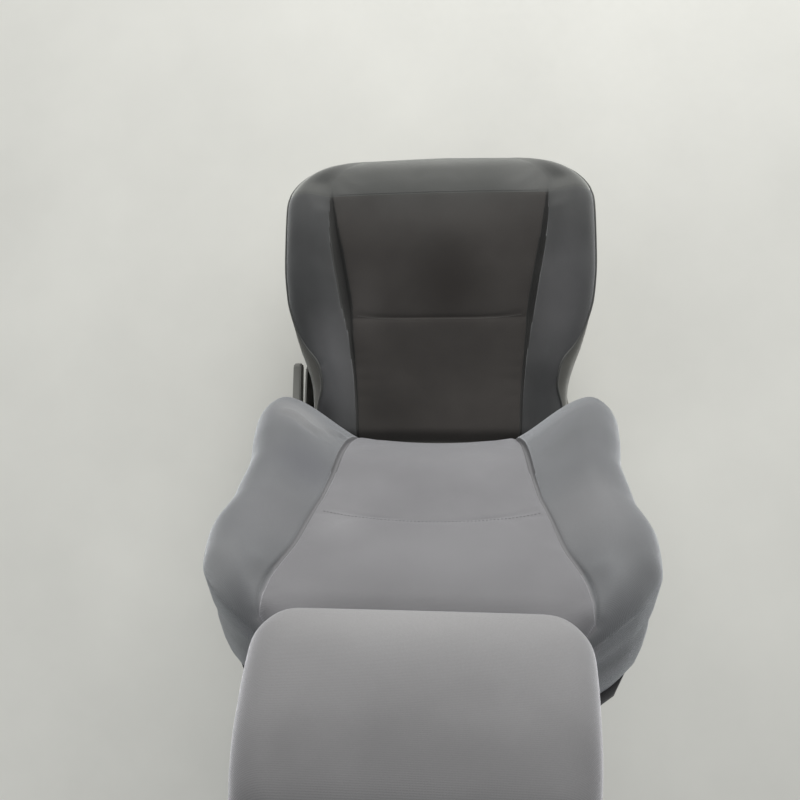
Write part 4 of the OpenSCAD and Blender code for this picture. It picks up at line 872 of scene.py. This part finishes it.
def part_index(mats):
    """Index of each of a pad's materials by the last word of its name."""
    return {name.split("_")[1]: k for k, name in enumerate(mats)}


def fold(x, y, a, b, width):
    """How strongly a short fold from a to b shows at each point, 1 on its line and 0 away from it."""
    ax, ay = a
    dx, dy = b[0] - ax, b[1] - ay
    length2 = dx * dx + dy * dy
    t = np.clip(((x - ax) * dx + (y - ay) * dy) / length2, 0, 1)
    gap = np.hypot(x - ax - t * dx, y - ay - t * dy)
    return bell(gap, width) * np.sin(np.pi * np.clip(t, 0.06, 0.94)) ** 0.5


def build_cushion():
    pad = Cushion()
    L = pad.length
    v = spaced(L, 5.5, [NOSE_SEAM * L, CUSHION_SEAM * L], (48, 26)) / L
    skin = Skin(pad, v, [0.06, 0.14, 0.25, 0.38, 0.52, 0.68, 0.85, 1.0, 1.3, 1.65, 2.0], hem=True)
    pts, n = filled(pad, skin, CUSHION_SEAM, lambda u: np.clip((1 - u) / 0.14, 0, 1)), skin.n
    normal = normals_of(pts, skin.faces)
    xi = pad.seam(skin.v)
    ax = np.abs(skin.x)
    crease = ax - xi
    nose = (skin.v - NOSE_SEAM) * L
    across = (skin.v - CUSHION_SEAM + 0.022 * (ax / xi) ** 4) * L
    inside = np.clip((xi - 8 - ax) / 14, 0, 1)
    left = skin.x > 0
    wide = np.where(left, curve([[.16, 1.4], [.25, 4.6], [.38, 7.5], [.51, 7.5], [.6, 4], [.66, 2.2], [1, 1.8]],
                                skin.v),
                    curve([[.16, 1.2], [.22, 2.2], [.345, 3.8], [.45, 4.6], [.55, 4.4], [.62, 3], [.7, 2], [1, 1.8]],
                          skin.v))
    deep = np.where(left, curve([[.16, 2], [.25, 6], [.38, 9], [.51, 9], [.62, 5], [.8, 3.5], [1, 3]], skin.v),
                    curve([[.16, 2], [.25, 5], [.38, 7], [.55, 7], [.65, 4], [.8, 3.5], [1, 3]], skin.v))
    starts = np.clip((skin.v - 0.15) / 0.03, 0, 1)
    band = trench(crease, wide)
    pull = (deep * band * starts + 0.3 * bell(nose, 2.6) * np.clip((ax - xi + 30) / 20, 0, 1)
            + 0.12 * bell(nose, 2.6) + 0.75 * bell(across, 2.2) * inside)
    pull = pull + 1.6 * fold(skin.x, skin.v * L, (196, 368), (206, 378), 3.0)
    wave = ripple(skin.points[:n, :2], 3, 0.05)
    pull = pull.ravel() + 0.5 * wave * bell(crease, 16).ravel() + 0.3 * wave * bell(nose, 14).ravel()
    pts[:n] -= normal[:n] * pull[:, None]
    depth = skin.depth_of()
    seam_low = bell(depth * 40, 3.0)
    pts -= normal * (1.2 * seam_low * (depth > 0))[:, None]
    low = bell((depth - 1.0) * 30, 5.0) * (depth > 0.2)
    pts -= normal * (1.6 * low)[:, None]
    mid_v, mid_x = middle(skin.v), np.abs(middle(skin.x))
    mats = ["cushion_insert", "cushion_bolster", "cushion_side", "cushion_nose", "cushion_channel", "cushion_crease"]
    part = part_index(mats)
    which = np.where(mid_x < pad.seam(mid_v), part["insert"], part["bolster"])
    # Faces in the creases take a darker cloth without sheen: painted shade in the creases.
    which = np.where((middle(band * starts) > 0.12) & (mid_v > NOSE_SEAM), part["crease"], which)
    which = np.where((middle(band * starts) > 0.45) & (middle(wide) > 2.6), part["channel"], which)
    which = np.where(mid_x > pad.half(mid_v) - pad.welt(mid_v), part["side"], which)
    which = np.where(mid_v < NOSE_SEAM, part["nose"], which).ravel()
    rim_v = skin.v.ravel()[skin.rim]
    ring = np.where((rim_v + np.roll(rim_v, -1)) / 2 < NOSE_SEAM, part["nose"], part["side"])
    placed = pad.place(pts)
    obj = make_object("cushion_upholstery", placed, skin.faces,
                      np.concatenate([which] + [ring] * len(skin.depths)), mats, skin.uv)
    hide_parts("cushion_cover")
    finish_pad(obj, "seat_base")
    norm = normals_of(placed, skin.faces)
    grid = np.arange(n).reshape(skin.rows, skin.cols)
    left_edge = grid[1:-2, skin.cols - 4][::-1]
    front_edge = grid[0, 3:skin.cols - 3][::-1]
    right_edge = grid[1:-2, 3]
    run = np.concatenate([left_edge, front_edge, right_edge])
    path = placed[run] + norm[run] * PIPING_LIFT
    cord = tubes("cushion_piping", [smooth_path(path, 2)], PIPING_RADIUS, "piping", 8)
    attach(cord, "seat_base")
    runs = [seam_run(skin, placed, norm, NOSE_SEAM, 0.0, 4, -3.2, 10),
            seam_run(skin, placed, norm, CUSHION_SEAM, 0.022, 4, 3.2, 10)]
    thread = stitches("cushion_stitching", runs, "thread_dark")
    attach(thread, "seat_base")


def seam_run(skin, placed, norm, at, bow, power, beside, inset):
    """Points and normals beside a seam across the insert that starts at share `at` and bows towards its ends."""
    j = int(np.argmin(np.abs(skin.v1 - at)))
    xi = float(skin.pad.seam(np.array([at]))[0])
    cols = [i for i in range(skin.cols) if abs(skin.x[j, i]) < xi - inset]
    want = at - bow * (np.abs(skin.x[j, cols]) / xi) ** power + beside / skin.pad.length
    j = np.clip(np.searchsorted(skin.v1, want) - 1, 0, skin.rows - 2)
    a = ((want - skin.v1[j]) / (skin.v1[j + 1] - skin.v1[j]))[:, None]
    low, high = j * skin.cols + cols, (j + 1) * skin.cols + cols
    return placed[low] * (1 - a) + placed[high] * a, norm[low] * (1 - a) + norm[high] * a


def smooth_path(path, times):
    """The path, or several side by side, with corners eased and both ends held."""
    path = path.copy()
    for _ in range(times):
        path[1:-1] = 0.25 * path[:-2] + 0.5 * path[1:-1] + 0.25 * path[2:]
    return path


def finish_pad(obj, body):
    """Attaches a soft piece to its body."""
    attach(obj, body)


def build_backrest():
    pad = Backrest()
    L = pad.length
    v = spaced(L, 5.5, [BACK_ROW * L], (14, 45)) / L
    skin = Skin(pad, v, [0.06, 0.14, 0.25, 0.38, 0.5, 0.62, 0.75, 0.88, 1.0, 1.3, 1.65, 2.0], hem=True)
    pts, n = filled(pad, skin, BACK_ROW, lambda u: np.clip((u - 0.02) / 0.12, 0, 1)), skin.n
    normal = -normals_of(pts, skin.faces)
    ax = np.abs(skin.x)
    xi = pad.seam(skin.v)
    crease = ax - xi
    across = (skin.v - BACK_SEAM + 0.02 * (ax / 110) ** 2) * L
    inside = np.clip((xi - 4 - ax) / 12, 0, 1)
    wave = ripple(skin.points[:n, ::2], 5, 0.05)
    left = skin.x > 0
    deep = np.where(left, curve([[0, 4], [.3, 5.5], [.5, 5.5], [.6, 3], [.7, 1.8], [.8, 2.2], [.88, 4], [.95, 3.5],
                                 [1, 0]], skin.v),
                    curve([[0, 4], [.3, 6], [.5, 6], [.58, 3.2], [.66, 1.5], [.8, 1.5], [.9, 3.8], [.95, 3.5],
                           [1, 0]], skin.v))
    wide = curve([[0, 2.6], [.3, 2.9], [.5, 2.7], [.65, 2.2], [.85, 2.6], [1, 2.6]], skin.v)
    band = trench(crease, wide)
    uneven = 1.2 + 0.5 * ripple(skin.points[:n, ::2], 8, 0.03).reshape(ax.shape)
    pull = deep * band + uneven * bell(across, 2.2) * inside
    lip = curve([[125, .325], [142, .341], [154, .393], [165, .415], [173, .41], [183, .4], [200, .395]], skin.x)
    off = (skin.v - lip) * L
    ends = np.clip((skin.x - 122) / 14, 0, 1) * np.clip((210 - skin.x) / 16, 0, 1)
    pull = pull + ends * (2.0 * bell(off - 4, 4.0) - 3.0 * np.exp(-((off + 6) / 9) ** 2))
    pull = pull + 2.0 * fold(skin.x, skin.v * L, (176, 228), (172, 244), 3.0)
    pull = pull + 1.2 * fold(skin.x, skin.v * L, (150, 212), (156, 236), 4.0)
    pull = pull.ravel() + 0.5 * wave * bell(crease, 18).ravel()
    pts[:n] -= normal[:n] * pull[:, None]
    depth = skin.depth_of()
    seam = bell((depth - 0.5) * 60, 3.4) + bell((depth - 1.0) * 40, 3.0)
    pts -= normal * (1.4 * seam * (depth > 0.1))[:, None]
    mid_v, mid_x = middle(skin.v), np.abs(middle(skin.x))
    mats = ["back_insert", "back_bolster", "back_crease"]
    part = part_index(mats)
    which = np.where(mid_x < pad.seam(mid_v), part["insert"], part["bolster"])
    # Faces in the creases take a darker cloth without sheen: painted shade in the creases.
    which = np.where((middle(band) > 0.25) & (mid_v < 0.86), part["crease"], which).ravel()
    ring = np.where(skin.v.ravel()[skin.rim] > 0.955, part["insert"], part["bolster"])
    placed = pad.place(pts)
    obj = make_object("backrest_upholstery", placed, skin.faces,
                      np.concatenate([which] + [ring] * len(skin.depths)), mats, skin.uv)
    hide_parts("backrest_cover")
    finish_pad(obj, "backrest")
    norm = normals_of(placed, skin.faces)
    run = seam_run(skin, placed, norm, BACK_SEAM, 0.0242, 2, 3.2, 6)
    thread = stitches("backrest_stitching", [run], "thread_grey")
    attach(thread, "backrest")


def build_head():
    pad = Head()
    h = spaced(pad.height, 5.0, [], (14, 30)) / pad.height
    s = np.concatenate([np.linspace(0, 0.76, 18), 0.76 + 0.24 * np.sin(np.linspace(0, np.pi / 2, 13))[1:]])
    s = np.concatenate([-s[:0:-1], s])
    hh, ss = np.meshgrid(h, s, indexing="ij")
    front, back = pad.faces(hh, ss)
    rows, cols = hh.shape
    rim = np.array(rim_index(rows, cols))
    n, m = rows * cols, len(rim)
    f3, b3 = front.reshape(-1, 3), back.reshape(-1, 3)
    mids = [f3[rim] + (b3[rim] - f3[rim]) * k for k in (0.2, 0.35, 0.5, 0.65, 0.8)]
    pts = np.concatenate([f3, b3] + mids)
    back_quads = grid_quads(rows, cols, n)[:, ::-1]
    loops = [rim] + [2 * n + k * m + np.arange(m) for k in range(len(mids))] + [n + rim]
    faces = np.concatenate([grid_quads(rows, cols), back_quads, ring_quads(loops)])
    normal = normals_of(pts, faces)
    ring = np.zeros(len(pts))
    ring[2 * n + 2 * m:2 * n + 3 * m] = 1
    ring[2 * n + m:2 * n + 2 * m] = ring[2 * n + 3 * m:2 * n + 4 * m] = 0.15
    inward = normal if np.mean(np.einsum("ij,ij->i", normal, pts - pts.mean(0))) < 0 else -normal
    pts = pts + inward * (1.8 * ring)[:, None]
    swell = np.sin(np.pi * np.clip(hh, 0, 1)) * np.cos(ss * np.pi / 2)
    pts[:n, 1] += (2.0 * swell).ravel()
    uv = np.concatenate([f3[:, [0, 2]], b3[:, [0, 2]] + [400, 0]]
                        + [np.stack([np.arange(m) * 6.0, 900 + 10.0 * k + np.zeros(m)], -1)
                           for k in range(len(mids))]) * MM
    obj = make_object("head_restraint_cover", pad.place(pts), faces, [0] * len(faces), ["head_cover"], uv)
    sub = obj.modifiers.new("soft", "SUBSURF")
    sub.levels = sub.render_levels = 1
    apply_modifiers(obj)
    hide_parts("headrest_cover", "headrest_foam")
    finish_pad(obj, "head_restraint")


def build_foam(node, body, name, sink):
    """Bare foam under a cover: the CAD solid remeshed evenly and drawn in under the fabric by `sink`."""
    src = frame["nodes"][node]
    obj = new_object(name, src.data.copy())
    rem = obj.modifiers.new("skin", "REMESH")
    rem.mode = "VOXEL"
    rem.voxel_size = FOAM_VOXEL
    apply_modifiers(obj)
    obj.name = obj.data.name = name
    co = np.zeros(len(obj.data.vertices) * 3, np.float32)
    obj.data.vertices.foreach_get("co", co)
    co = co.reshape(-1, 3).astype(float)
    co = sink(co / MM) * MM
    obj.data.vertices.foreach_set("co", co.astype(np.float32).ravel())
    obj.data.materials.clear()
    obj.data.materials.append(MATS["foam"])
    obj.data.polygons.foreach_set("use_smooth", [True] * len(obj.data.polygons))
    obj.data.update()
    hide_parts(node)
    finish_pad(obj, body)


def sink_cushion(p):
    """Draws the foam in under the cover and leaves the hollow for the frame as it is."""
    pad = Cushion()
    v = np.clip((p[:, 1] - pad.front) / pad.length, 0, 1)
    t = np.clip((p[:, 2] - PAN_Z - 8) / 20, 0, 1)
    low = np.clip((pad.shoulder - p[:, 2]) / (pad.shoulder - pad.hem), 0, 1)
    edge = pad.half(v) - pad.tuck * low
    rim = np.clip((np.abs(p[:, 0]) - edge + 14 + 18 * t) / 10, 0, 1)
    crease = np.abs(np.abs(p[:, 0]) - pad.seam(v))
    q = p.copy()
    q[:, 2] -= (11 + 9 * np.clip((30 - crease) / 14, 0, 1)) * t
    q[:, 0] -= np.sign(p[:, 0]) * (3 + 5 * t) * rim
    q[:, 1] += (3 + 5 * t) * np.clip((0.06 + 0.04 * low - v) / 0.03, 0, 1)
    q[:, 1] -= 4 * np.clip((v - 0.97) / 0.02, 0, 1)
    q[:, 2] += 3 * np.clip((pad.hem + 6 - p[:, 2]) / 4, 0, 1)
    return q


def sink_backrest(p):
    """Draws the foam in under the cover, as `sink_cushion` does for the seat."""
    pad = Backrest()
    n, t = local_moves(pad, p - np.array([0, PIVOT_Y, PIVOT_Z]))[:, 1:].T
    v = np.clip((t - pad.low) / pad.length, 0, 1)
    k = np.clip((n + 14) / 30, 0, 1)
    inward = np.interp(-n, [-90, 14, 34], [0, pad.draw, pad.tuck])
    rim = np.clip((np.abs(p[:, 0]) - pad.half(v) + inward + 14 + 20 * k) / 10, 0, 1)
    crease = np.abs(np.abs(p[:, 0]) - pad.seam(v))
    n2 = n - (10 + 4 * np.clip((26 - crease) / 14, 0, 1)) * k + 2.5 * np.clip((-28 - n) / 4, 0, 1)
    x2 = p[:, 0] - np.sign(p[:, 0]) * (5 + 3 * k) * rim
    t2 = (t - 7 * np.clip((t - pad.low - pad.length + inward + 18) / 10, 0, 1)
          + 3 * np.clip((pad.low + 6 - t) / 4, 0, 1))
    return leaned(np.stack([x2, n2, t2], -1))


dress_frame()
add_camera()
add_stage()
build_cushion()
build_backrest()
build_head()
build_foam("cushion_foam", "seat_base", "cushion_foam_block", sink_cushion)
build_foam("backrest_foam", "backrest", "backrest_foam_block", sink_backrest)
